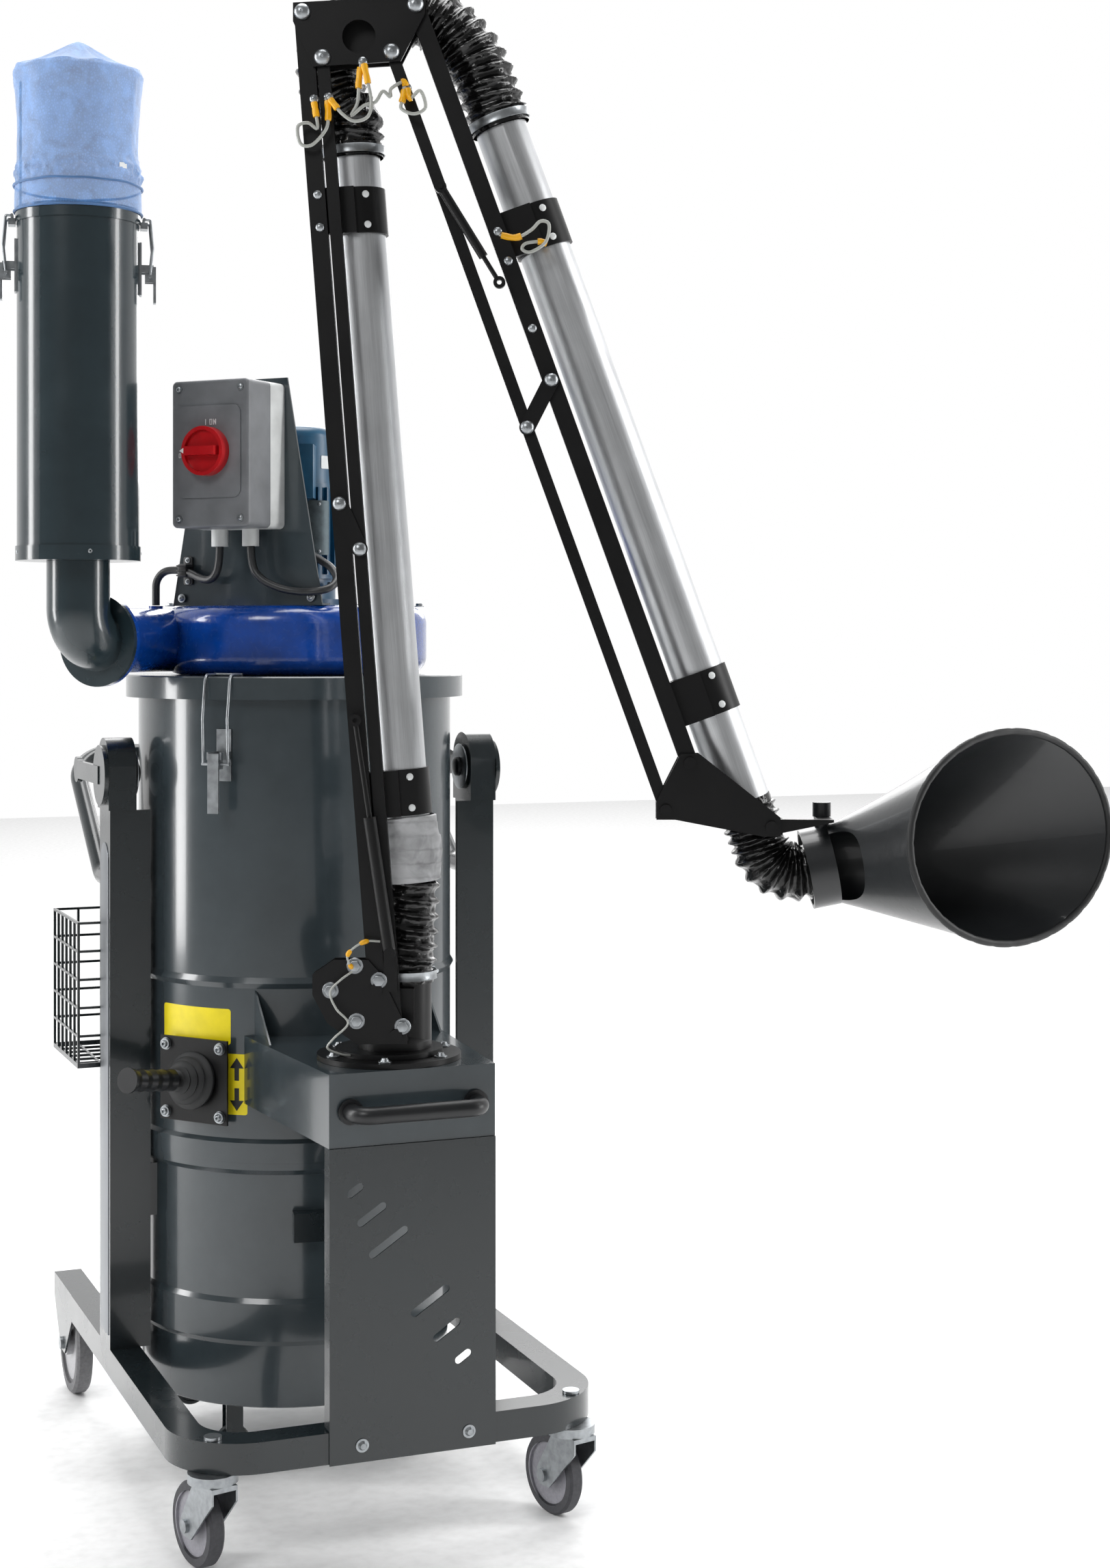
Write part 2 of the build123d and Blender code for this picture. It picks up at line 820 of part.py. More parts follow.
def make_bin_caster(x, y):
    top = bin_bottom - seat_gap
    low = top - bin_caster_plate
    half = bin_caster_plate_half
    inner = bin_caster_width / 2 + bin_caster_gap
    outer = inner + bin_caster_leg
    centre_z = bin_drop + bin_caster_radius
    plate = block(-half, half, -half, half, low, top)
    for s in (-1, 1):
        plate += block(-half / 2, half / 2, s * inner, s * outer, centre_z - half / 4, low)
    axle = rod((0, -outer, centre_z), (0, outer, centre_z), caster_axle_radius)
    wheel = make_wheel(bin_caster_radius, bin_caster_width, bin_caster_width / 3,
                       bin_caster_width / 2, caster_axle_radius + fit_gap)
    place = Pos(x, y, 0)
    return [place * (plate + axle), place * Pos(0, 0, centre_z) * Rot(0, 0, 90) * wheel]


# Inlet box
def box_outline(inset):
    """Plan of the inlet box: straight front, spreading towards the drum."""
    half = inlet_half_width - inset
    back = half + inlet_back_spread
    front = inlet_front_y + inset
    return [
        (inlet_x - half, front), (inlet_x + half, front),
        (inlet_x + back, inlet_back_y), (inlet_x - back, inlet_back_y),
    ]


def make_inlet_box():
    height = inlet_top - inlet_bottom
    body = extrude(make_face(Polyline(*box_outline(0), close=True)), amount=height)
    hollow = extrude(make_face(Polyline(*box_outline(inlet_sheet), close=True)),
                     amount=height - 2 * inlet_sheet)
    body = Pos(0, 0, inlet_bottom) * body - Pos(0, 0, inlet_bottom + inlet_sheet) * hollow
    body -= disc(pipe_radius, inlet_top - inlet_sheet - overrun, inlet_top + overrun, arm_x, arm_y)
    body += make_gusset(-1) + make_gusset(1)
    body -= disc(drum_radius + seat_gap, inlet_bottom - overrun, inlet_top + gusset_height + overrun)
    return body


def make_gusset(side):
    """A triangular stiffener on the box, along its side edge, up the drum's wall."""
    x = inlet_x + side * (inlet_half_width + inlet_back_spread - gusset_edge - gusset_thick)
    wall_y = -math.sqrt(drum_radius ** 2 - x ** 2)
    outline = [
        (wall_y + gusset_edge, inlet_top - inlet_sheet), (wall_y + gusset_edge, inlet_top + gusset_height),
        (wall_y, inlet_top + gusset_height), (wall_y - gusset_length, inlet_top - inlet_sheet),
    ]
    face = make_face(Polyline(*[(x, y, z) for y, z in outline], close=True))
    return extrude(face, amount=gusset_thick, dir=(1, 0, 0))


def make_front_handle():
    """D-shaped grip with round feet on the front of the inlet box."""
    face_y = inlet_front_y - seat_gap
    out_y = face_y - grip_standoff
    points = [
        (inlet_x - grip_half, face_y, grip_z), (inlet_x - grip_half, out_y, grip_z),
        (inlet_x + grip_half, out_y, grip_z), (inlet_x + grip_half, face_y, grip_z),
    ]
    grip = bent_rod(points, [grip_corner, grip_corner], grip_radius)
    for s in (-1, 1):
        x = inlet_x + s * grip_half
        grip += rod((x, face_y, grip_z), (x, face_y - grip_foot, grip_z), grip_foot_radius)
    return grip


cover_back_y = frame_front_y - seat_gap
cover_top = inlet_bottom - seat_gap


def make_front_cover():
    left = inlet_x - inlet_half_width
    right = inlet_x + inlet_half_width
    height = cover_top - cover_bottom
    cover = block(left, right, cover_back_y - cover_sheet, cover_back_y, cover_bottom, cover_top)
    for low_x, high_x in ((left, left + cover_sheet), (right - cover_sheet, right)):
        cover += block(low_x, high_x, cover_back_y - cover_sheet, cover_back_y + cover_fold,
                       frame_top + cover_sheet, cover_top)
    cover += block(left, right, cover_back_y - cover_sheet, cover_back_y + cover_fold,
                   cover_top - cover_sheet, cover_top)
    for across, up, length in slot_shares:
        x = left + across * (right - left)
        z = cover_bottom + up * height
        long = length * (right - left)
        slot = SlotOverall(long, 2 * slot_half_width)
        plane = Plane(origin=(x, cover_back_y + overrun, z), x_dir=(1, 0, 0), z_dir=(0, -1, 0))
        cover -= extrude(plane * Rot(0, 0, slot_angle) * slot, amount=cover_sheet + 2 * overrun)
    return cover


# Points of the two cables from the switch, in the bracket's own frame (out, right, z)
cable_start_z = switch_low - seat_gap - gland_height / 2
fan_cable = [
    (gland_out, gland_left, cable_start_z), (gland_out, gland_left, 1484), (27, -50, 1461),
    (21, -76, 1463), (15, -104, 1475), (14, -132, 1480), (16, -156, 1478), (17, -171, 1462),
    (16, -172, 1442), (16, -172, 1420),
]
motor_cable = [
    (gland_out, gland_right, cable_start_z), (gland_out, gland_right, 1486), (27, 45, 1462),
    (20, 76, 1447), (13, 108, 1441), (11, 140, 1441), (-4, 162, 1446), (-30, 160, 1462),
    (-46, 138, 1482), (-54, 108, 1496), (-60, 76, 1512), (-62, 46, 1532), (-62, 44, 1566),
    (-62, 44, terminal_low - seat_gap),
]
cable_clamp = (-124.0, -106.0, 1454.0, 1502.0)
cable_clamp_depth = 28.0


# Fan
scroll_bottom = lid_top + seat_gap
scroll_top = lid_top + scroll_height
silencer_bottom = scroll_top + silencer_rise
outlet_z = (scroll_bottom + scroll_top) / 2


def make_fan_scroll():
    """Pancake scroll on the lid with a tangent outlet and its flange."""
    body = fillet(disc(scroll_radius, scroll_bottom, scroll_top).edges(), scroll_edge)
    duct = rod((0, outlet_offset, outlet_z), (outlet_length, outlet_offset, outlet_z), outlet_radius)
    flange = rod((outlet_length - outlet_flange, outlet_offset, outlet_z),
                 (outlet_length, outlet_offset, outlet_z), outlet_flange_radius)
    bore = rod((0, outlet_offset, outlet_z), (outlet_length + overrun, outlet_offset, outlet_z),
               outlet_radius - scroll_wall)
    room = disc(scroll_inner_radius, scroll_bottom + scroll_wall, scroll_top - scroll_wall)
    room = fillet(room.edges(), scroll_edge - scroll_wall)
    body = body + duct + flange - room - bore
    body += disc(cable_boss_radius, outlet_z, scroll_top, bracket_reach + fan_cable[-1][0],
                 fan_cable[-1][1])
    body -= bore
    body -= disc(lid_hole_radius, scroll_bottom - overrun, scroll_bottom + 2 * overrun)
    body -= disc(shaft_radius + scroll_wall, scroll_top - 2 * overrun - scroll_wall, scroll_top + overrun)
    return around(body, outlet_angle)


def make_motor():
    """Finned housing on a round foot, and the cowl over its fan, as two solids."""
    body = disc(motor_radius, motor_body_bottom, motor_body_top)
    for i in range(motor_ribs):
        rib = block(motor_radius - motor_rib_out, motor_radius + motor_rib_out,
                    -motor_rib_thick / 2, motor_rib_thick / 2,
                    motor_body_bottom + motor_rib_out, motor_body_top - motor_rib_out)
        body += around(rib, i * 360 / motor_ribs)
    body += disc(motor_radius - motor_rib_out, scroll_top + seat_gap, motor_body_bottom)
    body += disc(motor_foot_radius, scroll_top + seat_gap, scroll_top + motor_foot_thick)
    box = block(0, motor_radius + terminal_out, -terminal_half, terminal_half, terminal_low,
                terminal_low + terminal_height)
    box -= disc(motor_radius, motor_body_top, terminal_low + terminal_height + overrun)
    body += around(box, terminal_angle)
    body -= disc(motor_bore, motor_body_bottom, motor_body_top - motor_foot_thick)
    body -= disc(shaft_radius + fit_gap, scroll_top, motor_body_top + overrun)
    low = motor_body_top + seat_gap
    cowl = disc(cowl_radius, low, cowl_top)
    cowl = fillet(cowl.faces().sort_by(Axis.Z)[-1].edges(), cowl_edge)
    room = disc(cowl_radius - cowl_wall, low - overrun, cowl_top - cowl_wall)
    room = fillet(room.faces().sort_by(Axis.Z)[-1].edges(), cowl_edge - cowl_wall)
    return group(body, cowl - room)


def make_fan_rotor():
    """Shaft with its motor core, the bladed impeller and the cooling fan."""
    shaft = disc(shaft_radius, shaft_low, shaft_high)
    shaft += disc(core_radius, motor_body_bottom + motor_foot_thick,
                  motor_body_top - 2 * motor_foot_thick)
    shaft += disc(impeller_hub_radius, impeller_bottom, impeller_top)
    shaft += disc(impeller_radius, impeller_top - impeller_plate, impeller_top)
    for i in range(impeller_blades):
        blade = block(impeller_hub_radius - impeller_plate, impeller_radius, -impeller_blade_thick / 2,
                      impeller_blade_thick / 2, impeller_bottom, impeller_top)
        shaft += around(blade, i * 360 / impeller_blades)
    shaft += disc(impeller_hub_radius, cooling_fan_low, cooling_fan_high)
    for i in range(cooling_blades):
        blade = block(impeller_hub_radius - impeller_plate, cooling_fan_radius,
                      -impeller_blade_thick / 2, impeller_blade_thick / 2, cooling_fan_low,
                      cooling_fan_high)
        shaft += around(blade, i * 360 / cooling_blades)
    return shaft


# Silencer: its axis stands past the outlet flange by the elbow's bend
silencer_reach = outlet_length + seat_gap + elbow_bend + elbow_lead


def at_silencer(shape):
    """Moves a shape drawn about the Z axis onto the silencer's axis."""
    return around(Pos(silencer_reach, outlet_offset, 0) * shape, outlet_angle)


def make_silencer():
    """Flanged elbow, silencer shell and the wire cage in its mouth, as three solids."""
    start = (outlet_length + seat_gap, outlet_offset, outlet_z)
    corner = (silencer_reach, outlet_offset, outlet_z)
    end = (silencer_reach, outlet_offset, silencer_bottom - seat_gap)
    elbow = bent_rod([start, corner, end], [elbow_bend], elbow_radius)
    elbow += rod(start, (start[0] + outlet_flange, outlet_offset, outlet_z), outlet_flange_radius)
    path = FilletPolyline(start, corner, end, radius=[elbow_bend])
    ring = Plane(origin=path @ 0, z_dir=path % 0) * Circle(elbow_radius - sheet)
    elbow -= sweep(ring, path=path)
    r = silencer_radius
    out = silencer_band_out
    profile = [
        (elbow_radius - sheet, silencer_bottom), (r + out, silencer_bottom),
        (r + out, silencer_bottom + silencer_band), (r, silencer_bottom + silencer_band),
        (r, silencer_top - silencer_band), (r + out, silencer_top - silencer_band),
        (r + out, silencer_top), (r - sheet, silencer_top), (r - sheet, silencer_bottom + sheet),
        (elbow_radius - sheet, silencer_bottom + sheet),
    ]
    return group(around(elbow, outlet_angle), at_silencer(turned(profile)), make_outlet_cage())


def make_outlet_cage():
    """Round wire cage that stands in the silencer's mouth and spreads the net."""
    wire = cage_wire
    low = silencer_top - cage_sink
    r = silencer_radius - sheet - wire - seat_gap
    cage = Pos(0, 0, cage_top - wire) * Torus(r, wire)
    cage += Pos(0, 0, low) * Torus(r, wire)
    for i in range(cage_bars):
        angle = 2 * math.pi * i / cage_bars
        x = r * math.cos(angle)
        y = r * math.sin(angle)
        cage += rod((x, y, low), (x, y, cage_top - wire), wire * bar_share)
    return at_silencer(cage)


def make_outlet_net():
    """Net bag over the cage, with a gathered hem round the silencer's rim."""
    r = silencer_radius + silencer_band_out + seat_gap
    crown = net_crown_radius
    skin = net_skin
    hem_top = net_bottom + net_hem_height
    outer = [
        (r, net_bottom), (r + net_hem_out, net_bottom), (r + net_hem_out, hem_top),
        (r + net_waist_out, (hem_top + net_crown) / 2), (crown, net_crown),
        (net_peak_radius, net_top - skin), (0, net_top), (0, net_top - 2 * skin),
        (net_peak_radius, net_top - 2 * skin), (crown - skin, net_crown - skin),
        (r + net_waist_out - skin, (hem_top + net_crown) / 2), (r, hem_top),
    ]
    return at_silencer(turned(outer))


# Switch bracket; local x runs outwards, local y to the right of one who faces the switch
def at_switch(shape):
    return around(Pos(bracket_reach, 0, 0) * shape, outlet_angle)


def make_switch_bracket():
    foot = scroll_top + seat_gap
    outline = [
        (-bracket_foot_half, foot), (bracket_foot_half, foot),
        (bracket_head_half, bracket_top), (-bracket_head_half, bracket_top),
    ]
    face = make_face(Polyline(*[(0, y, z) for y, z in outline], close=True))
    plate = extrude(face, amount=bracket_sheet, dir=(-1, 0, 0))
    plate += block(-bracket_fold, 0, -bracket_foot_half, bracket_foot_half, foot, foot + bracket_sheet)
    return at_switch(plate)


def make_switch_base():
    """Light base of the switch box, with its two cable glands as separate solids."""
    half = switch_half_width
    base = block(seat_gap, switch_base_depth, -half, half, switch_low, switch_high)
    upright_edges = base.edges().filter_by(Axis.X)
    base = fillet(upright_edges, switch_edge)
    glands = []
    for y in (gland_left, gland_right):
        top = switch_low - seat_gap
        gland = disc(gland_radius, top - gland_height, top, gland_out, y)
        gland -= disc(cable_radius + fit_gap, top - gland_height - overrun, top + overrun,
                      gland_out, y)
        glands.append(gland)
    return group(*[at_switch(piece) for piece in (base, *glands)])


def make_switch_cover():
    half = switch_half_width
    low = switch_base_depth + seat_gap
    high = low + switch_cover_depth
    cover = block(low, high, -half, half, switch_low, switch_high)
    cover = fillet(cover.edges().filter_by(Axis.X), switch_edge)
    cover = fillet(cover.faces().sort_by(Axis.X)[-1].edges(), switch_edge / 2)
    inset = switch_panel_inset
    panel = block(high, high + switch_panel_out, -half + inset, half - inset,
                  knob_z - half, knob_z + half)
    cover += fillet(panel.edges().filter_by(Axis.X), inset)
    cover -= rod((high - knob_depth, 0, knob_z), (high + knob_depth, 0, knob_z), hub_radius + fit_gap)
    return at_switch(cover)


knob_face = switch_base_depth + seat_gap + switch_cover_depth + switch_panel_out + seat_gap


def make_switch_knob():
    """Round red dial with a sunk face and a raised grip bar."""
    dial = rod((knob_face, 0, knob_z), (knob_face + knob_depth, 0, knob_z), knob_radius)
    dial -= rod((knob_face + knob_depth - knob_wall, 0, knob_z),
                (knob_face + knob_depth + overrun, 0, knob_z), knob_radius - knob_wall)
    dial += block(knob_face + knob_depth - knob_wall, knob_face + knob_depth + knob_grip_out,
                  -knob_grip_half, knob_grip_half, knob_z - knob_grip_width, knob_z + knob_grip_width)
    dial += rod((knob_face - knob_wall, 0, knob_z), (knob_face, 0, knob_z), hub_radius)
    return at_switch(dial)


def cable_corners(points):
    """Each corner's arc is as large as its two runs allow."""
    corners = []
    for i in range(1, len(points) - 1):
        before = Vector(*points[i]) - Vector(*points[i - 1])
        after = Vector(*points[i + 1]) - Vector(*points[i])
        turn = math.radians(before.get_angle(after))
        corners.append(0.45 * min(before.length, after.length) / math.tan(turn / 2))
    return corners


def make_cables():
    cables = []
    for name, points in (("fan cable", fan_cable), ("motor cable", motor_cable)):
        corners = cable_corners(points)
        print(name, "radii", [round(c, 1) for c in corners])
        cables.append(bent_rod(points, corners, cable_radius))
    left, right, low, high = cable_clamp
    clamp = block(seat_gap, cable_clamp_depth, left, right, low, high)
    clamp -= rod(fan_cable[4], fan_cable[5], cable_radius + seat_gap)
    return group(*[at_switch(piece) for piece in (*cables, clamp)])


# Shaker; drawn pointing along +X from the drum's axis
shaker_face = drum_radius + shaker_stand


def make_shaker_plate():
    half = shaker_plate_half
    face = shaker_face
    plate = block(face - shaker_plate_thick, face, -half, half, shaker_z - half, shaker_z + half)
    box_ = block(face - 3 * shaker_stand, face - shaker_plate_thick, -half / 2, half / 2,
                 shaker_z - half / 2, shaker_z + half / 2)
    box_ -= disc(drum_radius + seat_gap, shaker_z - half, shaker_z + half)
    plate += box_
    plate -= rod((0, 0, shaker_z), (face + overrun, 0, shaker_z), shaker_boot_tip + shaker_plate_thick)
    return around(plate, shaker_angle)


def make_shaker_boot():
    """Round rubber bellows that turns from the plate to the tilted rod."""
    steps = 2 * shaker_boot_rings
    step = shaker_boot_height / steps
    rings = []
    holes = []
    for i in range(steps + 1):
        share = i / steps
        tilt = math.radians(shaker_tilt * share)
        reach = seat_gap + i * step
        lean = math.radians(shaker_tilt)
        centre = (shaker_face + reach * math.cos(lean), 0, shaker_z + reach * math.sin(lean))
        plane = Plane(origin=centre, x_dir=(0, 1, 0), z_dir=(math.cos(tilt), 0, math.sin(tilt)))
        radius = shaker_boot_radius + share * (shaker_boot_tip - shaker_boot_radius)
        fold = (i % 2) * step
        rings.append(plane * Circle(radius - fold))
        holes.append(plane * Circle(shaker_rod_radius + boot_gap))
    return around(loft(rings, ruled=True) - loft(holes, ruled=True), shaker_angle)


def make_shaker_handle():
    """Rod through the boot with a ribbed grip and an end disc."""
    pivot = shaker_face
    rod_ = rod((-shaker_stand, 0, 0), (shaker_grip_end, 0, 0), shaker_rod_radius)
    ribs = [(0, shaker_grip_start)]
    step = (shaker_grip_end - shaker_grip_start) / (2 * shaker_boot_rings)
    for i in range(2 * shaker_boot_rings + 1):
        radius = shaker_grip_radius - (i % 2) * step / 8
        ribs.append((radius, shaker_grip_start + i * step))
    ribs.append((0, shaker_grip_end))
    grip = Rot(0, 90, 0) * turned(ribs)
    end = rod((shaker_grip_end, 0, 0), (shaker_grip_end + shaker_disc, 0, 0), shaker_disc_radius)
    handle = Rot(0, -shaker_tilt, 0) * (rod_ + grip + end)
    return around(Pos(pivot, 0, shaker_z) * handle, shaker_angle)


def make_lift_levers():
    """Round hub and long paddle on each cap, pointing to the rear."""
    inner = frame_half_width + cap_overlap + seat_gap
    hub = rod((inner, post_mid_y, lever_z), (inner + lever_disc, post_mid_y, lever_z),
              lever_disc_radius)
    stub = rod((inner - seat_gap - cap_overlap, post_mid_y, lever_z), (inner, post_mid_y, lever_z),
               hub_radius)
    paddle = block(inner, inner + lever_thick, post_mid_y, post_mid_y + lever_length,
                   lever_z - lever_width / 2, lever_z + lever_width / 2)
    tip = rod((inner, post_mid_y + lever_length, lever_z),
              (inner + lever_thick, post_mid_y + lever_length, lever_z), lever_tip_radius)
    return group(*both_sides(hub + stub + paddle + tip))


# Toggle latches, drawn pointing along +X from the axis of the drum they are on
def latch_parts(wall, pivot_out, pivot_z, lever_length_, hook_r, hook_z, edge_r):
    """Base, lever and wire loop of one latch."""
    pr = wall + pivot_out
    half = latch_plate_half
    thick = latch_lever_thick
    base = block(wall - thick, wall + seat_gap + latch_ear, -half, half,
                 pivot_z - latch_plate_length / 2, pivot_z + latch_plate_length / 2)
    base -= disc(wall + seat_gap, pivot_z - latch_plate_length, pivot_z + latch_plate_length)
    for s in (-1, 1):
        ear = s * (half - latch_ear)
        base += block(wall + seat_gap, pr + 2 * latch_pin_radius, ear, s * half,
                      pivot_z - 2 * latch_pin_radius, pivot_z + 2 * latch_pin_radius)
    base -= rod((pr, -half - overrun, pivot_z), (pr, half + overrun, pivot_z),
                latch_pin_radius + fit_gap)
    base += rod((pr, -half, pivot_z), (pr, half, pivot_z), latch_pin_radius)
    inner = half - latch_ear - seat_gap
    face = pr + 2 * latch_pin_radius
    lever = block(face, face + thick, -inner, inner, pivot_z - lever_length_, pivot_z + thick)
    for s in (-1, 1):
        lever += block(pr - latch_pin_radius - thick, face + thick, s * (inner - latch_ear), s * inner,
                       pivot_z - latch_arm - 2 * thick, pivot_z + thick)
    lever -= rod((pr, -half, pivot_z), (pr, half, pivot_z), latch_pin_radius + fit_gap)
    qz = pivot_z - latch_arm
    lever -= rod((pr, -half, qz), (pr, half, qz), latch_wire + fit_gap)
    out = edge_r + latch_wire + seat_gap * 4
    side = latch_loop_half
    corner = min(latch_hook_corner, hook_corner_share * (out - hook_r))
    top = hook_z + latch_wire + seat_gap
    loop = rod((pr, -side - latch_wire, qz), (pr, side + latch_wire, qz), latch_wire)
    for s in (-1, 1):
        wire = bent_rod([(pr, s * side, qz), (out + corner, s * side, (qz + top) / 2),
                         (out, s * side, top), (hook_r, s * side, top)],
                        [corner, corner], latch_wire * bar_share)
        loop += wire
    loop += rod((hook_r, -side - latch_wire, top), (hook_r, side + latch_wire, top), latch_wire)
    return base, lever, loop


lid_latch = latch_parts(drum_radius, latch_pivot_out, latch_pivot_z, latch_lever_length,
                        lid_radius - latch_hook_in, lid_top, lid_radius)
silencer_latch = latch_parts(silencer_radius, silencer_pivot_out, silencer_pivot_z,
                             silencer_lever_length, silencer_radius + silencer_hook_radius,
                             silencer_catch_z, silencer_radius + silencer_catch_out)


# Fasteners and latch plates, all zinc plated and fixed to the machine
def domed_bolt(point, direction, radius=bolt_radius):
    """A domed bolt head that stands on a face."""
    start = Vector(*point) + Vector(*direction) * seat_gap
    plane = Plane(origin=start, z_dir=Vector(*direction))
    washer = extrude(plane * Circle(radius + washer_out), amount=washer_thick)
    profile = [(0, 0), (radius, 0), (radius * dome_share, bolt_height), (0, bolt_height)]
    head = turned(profile)
    return washer + plane.offset(washer_thick).location * head


def make_zinc_fittings():
    pieces = []
    left = inlet_x - inlet_half_width
    for share in cover_bolt_shares:
        x = left + share * 2 * inlet_half_width
        pieces.append(domed_bolt((x, cover_back_y - cover_sheet, frame_top - frame_tube_height / 2),
                                 (0, -1, 0)))
    for i in range(flange_bolts):
        angle = math.radians(i * 360 / flange_bolts + flange_bolt_start)
        x = arm_x + flange_bolt_circle * math.cos(angle)
        y = arm_y + flange_bolt_circle * math.sin(angle)
        pieces.append(domed_bolt((x, y, flange_top), (0, 0, 1)))
    half = shaker_plate_half - shaker_bolt_inset
    for sy in (-1, 1):
        for sz in (-1, 1):
            bolt = domed_bolt((shaker_face, sy * half, shaker_z + sz * half), (1, 0, 0))
            pieces.append(around(bolt, shaker_angle))
    pieces.extend(both_sides(make_rear_axle()))
    pieces.append(around(lid_latch[0], latch_angle))
    for turn in silencer_latch_turns:
        catch = block(silencer_radius - latch_ear, silencer_radius + silencer_catch_out,
                      -latch_plate_half, latch_plate_half,
                      silencer_catch_z - silencer_catch_thick, silencer_catch_z)
        catch -= disc(silencer_radius + silencer_band_out + seat_gap, silencer_pivot_z, silencer_top)
        pieces.append(at_silencer(Rot(0, 0, turn) * catch))
        pieces.append(at_silencer(Rot(0, 0, turn) * silencer_latch[0]))
    return group(*pieces)


# Arm. Its pieces are drawn in the plane of its bars and then set on the inlet box.
shoulder = (shoulder_x, shoulder_z)
elbow_rest = (shoulder_x + lower_reach_x, shoulder_z + lower_reach_z)
outer_start = (elbow_x, elbow_z)
outer_end = (elbow_x + outer_reach_x, elbow_z + outer_reach_z)
lower_long = math.hypot(lower_reach_x, lower_reach_z)
outer_long = math.hypot(outer_reach_x, outer_reach_z)
lower_way = (lower_reach_x / lower_long, lower_reach_z / lower_long)
outer_way = (outer_reach_x / outer_long, outer_reach_z / outer_long)
lower_side = (lower_way[1], -lower_way[0])
outer_side = (-outer_way[1], outer_way[0])
bar_far = bar_near + bar_deep
plate_front = bar_near - plate_gap - plate_thick
plate_back = bar_far + plate_gap


def at_arm(shape):
    return Pos(arm_x, arm_y, 0) * Rot(0, 0, arm_turn) * shape


def along(start, way, side, distance, off):
    """A point of the arm's plane, along a bar and off to its side."""
    return (start[0] + way[0] * distance + side[0] * off, start[1] + way[1] * distance + side[1] * off)


def shifted(point, dx, dz):
    return (point[0] + dx, point[1] + dz)


def cross_rod(point, y0, y1, radius):
    """A round bar across the arm's plane."""
    return rod((point[0], y0, point[1]), (point[0], y1, point[1]), radius)


def make_bar(start, end, wide, y0, y1):
    """A hollow flat bar with round ends and a bore at each end."""
    a = Vector(start[0], 0, start[1])
    b = Vector(end[0], 0, end[1])
    middle = (a + b) / 2
    length = (b - a).length
    plane = Plane(origin=(middle.X, y0, middle.Z), x_dir=b - a, z_dir=(0, 1, 0))
    bar = extrude(plane * SlotCenterToCenter(length, wide), amount=y1 - y0)
    inner = Plane(origin=(middle.X, y0 + bar_wall, middle.Z), x_dir=b - a, z_dir=(0, 1, 0))
    room = extrude(inner * Rectangle(length - 2 * wide, wide - 2 * bar_wall),
                   amount=y1 - y0 - 2 * bar_wall)
    bar -= room
    for point in (start, end):
        bar -= cross_rod(point, y0 - overrun, y1 + overrun, pivot_radius + fit_gap)
    return bar


def link_plates(outline, pivots):
    """A plate on each side of the bars, with the pivot bolts that join the two."""
    plates = side_plate(outline, plate_front, plate_front + plate_thick)
    plates += side_plate(outline, plate_back, plate_back + plate_thick)
    for point in pivots:
        plates += cross_rod(point, plate_front - pivot_head, plate_back + plate_thick, pivot_radius)
        plates += cross_rod(point, plate_front - pivot_head, plate_front, pivot_head_radius)
    return plates


def make_hose(runs, ribs, radius, valley, bore):
    """A ribbed hose: a plain cuff, ribs along a smooth curve, and a plain cuff."""
    first, middle, last = runs
    pitch = middle.length / ribs
    stations = [(first, 0, valley), (first, 1, valley)]
    for i in range(ribs):
        for share, size in zip(rib_shares, (valley, radius, radius, valley)):
            stations.append((middle, (i + share) * pitch / middle.length, size))
    stations.extend([(last, 0, valley), (last, 1, valley)])
    sections = []
    holes = []
    for run, share, size in stations:
        plane = Plane(origin=run @ share, x_dir=(0, 1, 0), z_dir=run % share)
        sections.append(plane * Circle(size))
        holes.append(plane * Circle(bore))
    return loft(sections, ruled=True) - loft(holes, ruled=True)


def hose_curve(start, points, end):
    """A straight cuff, a smooth curve with these poles in the arm's plane, and a cuff."""
    poles = [(x, 0, z) for x, z in points]
    first = Line((start[0], 0, start[1]), poles[0])
    last = Line(poles[-1], (end[0], 0, end[1]))
    return first, Bezier(*poles), last


def make_pipe(start, end):
    outer = rod((start[0], 0, start[1]), (end[0], 0, end[1]), pipe_radius)
    way = Vector(end[0] - start[0], 0, end[1] - start[1]).normalized() * overrun
    inner = rod((start[0] - way.X, 0, start[1] - way.Z), (end[0] + way.X, 0, end[1] + way.Z),
                pipe_radius - pipe_wall)
    return outer - inner


def make_clamps(start, end, way, side, off, shares):
    """Two plates that join a pipe to its bar, as a saddle on the pipe's near side."""
    long = math.hypot(end[0] - start[0], end[1] - start[1])
    pieces = []
    for share in shares:
        low = along(start, way, side, share * long - clamp_width / 2, 0)
        high = along(start, way, side, share * long + clamp_width / 2, 0)
        ring = rod((low[0], 0, low[1]), (high[0], 0, high[1]), pipe_radius + seat_gap + clamp_thick)
        hole = rod((low[0] - way[0] * overrun, 0, low[1] - way[1] * overrun),
                   (high[0] + way[0] * overrun, 0, high[1] + way[1] * overrun),
                   pipe_radius + seat_gap)
        tab = [along(low, way, side, 0, -off - clamp_reach), along(high, way, side, 0, -off - clamp_reach),
               along(high, way, side, 0, 0), along(low, way, side, 0, 0)]
        saddle = ring + side_plate(tab, bar_far, -pipe_radius)
        pieces.append(saddle - hole)
    return pieces


flange_top = inlet_top + seat_gap + flange_thick
turret_low = flange_top + seat_gap


def make_arm_flange():
    flange = disc(flange_radius, inlet_top + seat_gap, flange_top)
    flange -= disc(pipe_radius - pipe_wall, inlet_top - overrun, flange_top + overrun)
    return at_arm(flange)


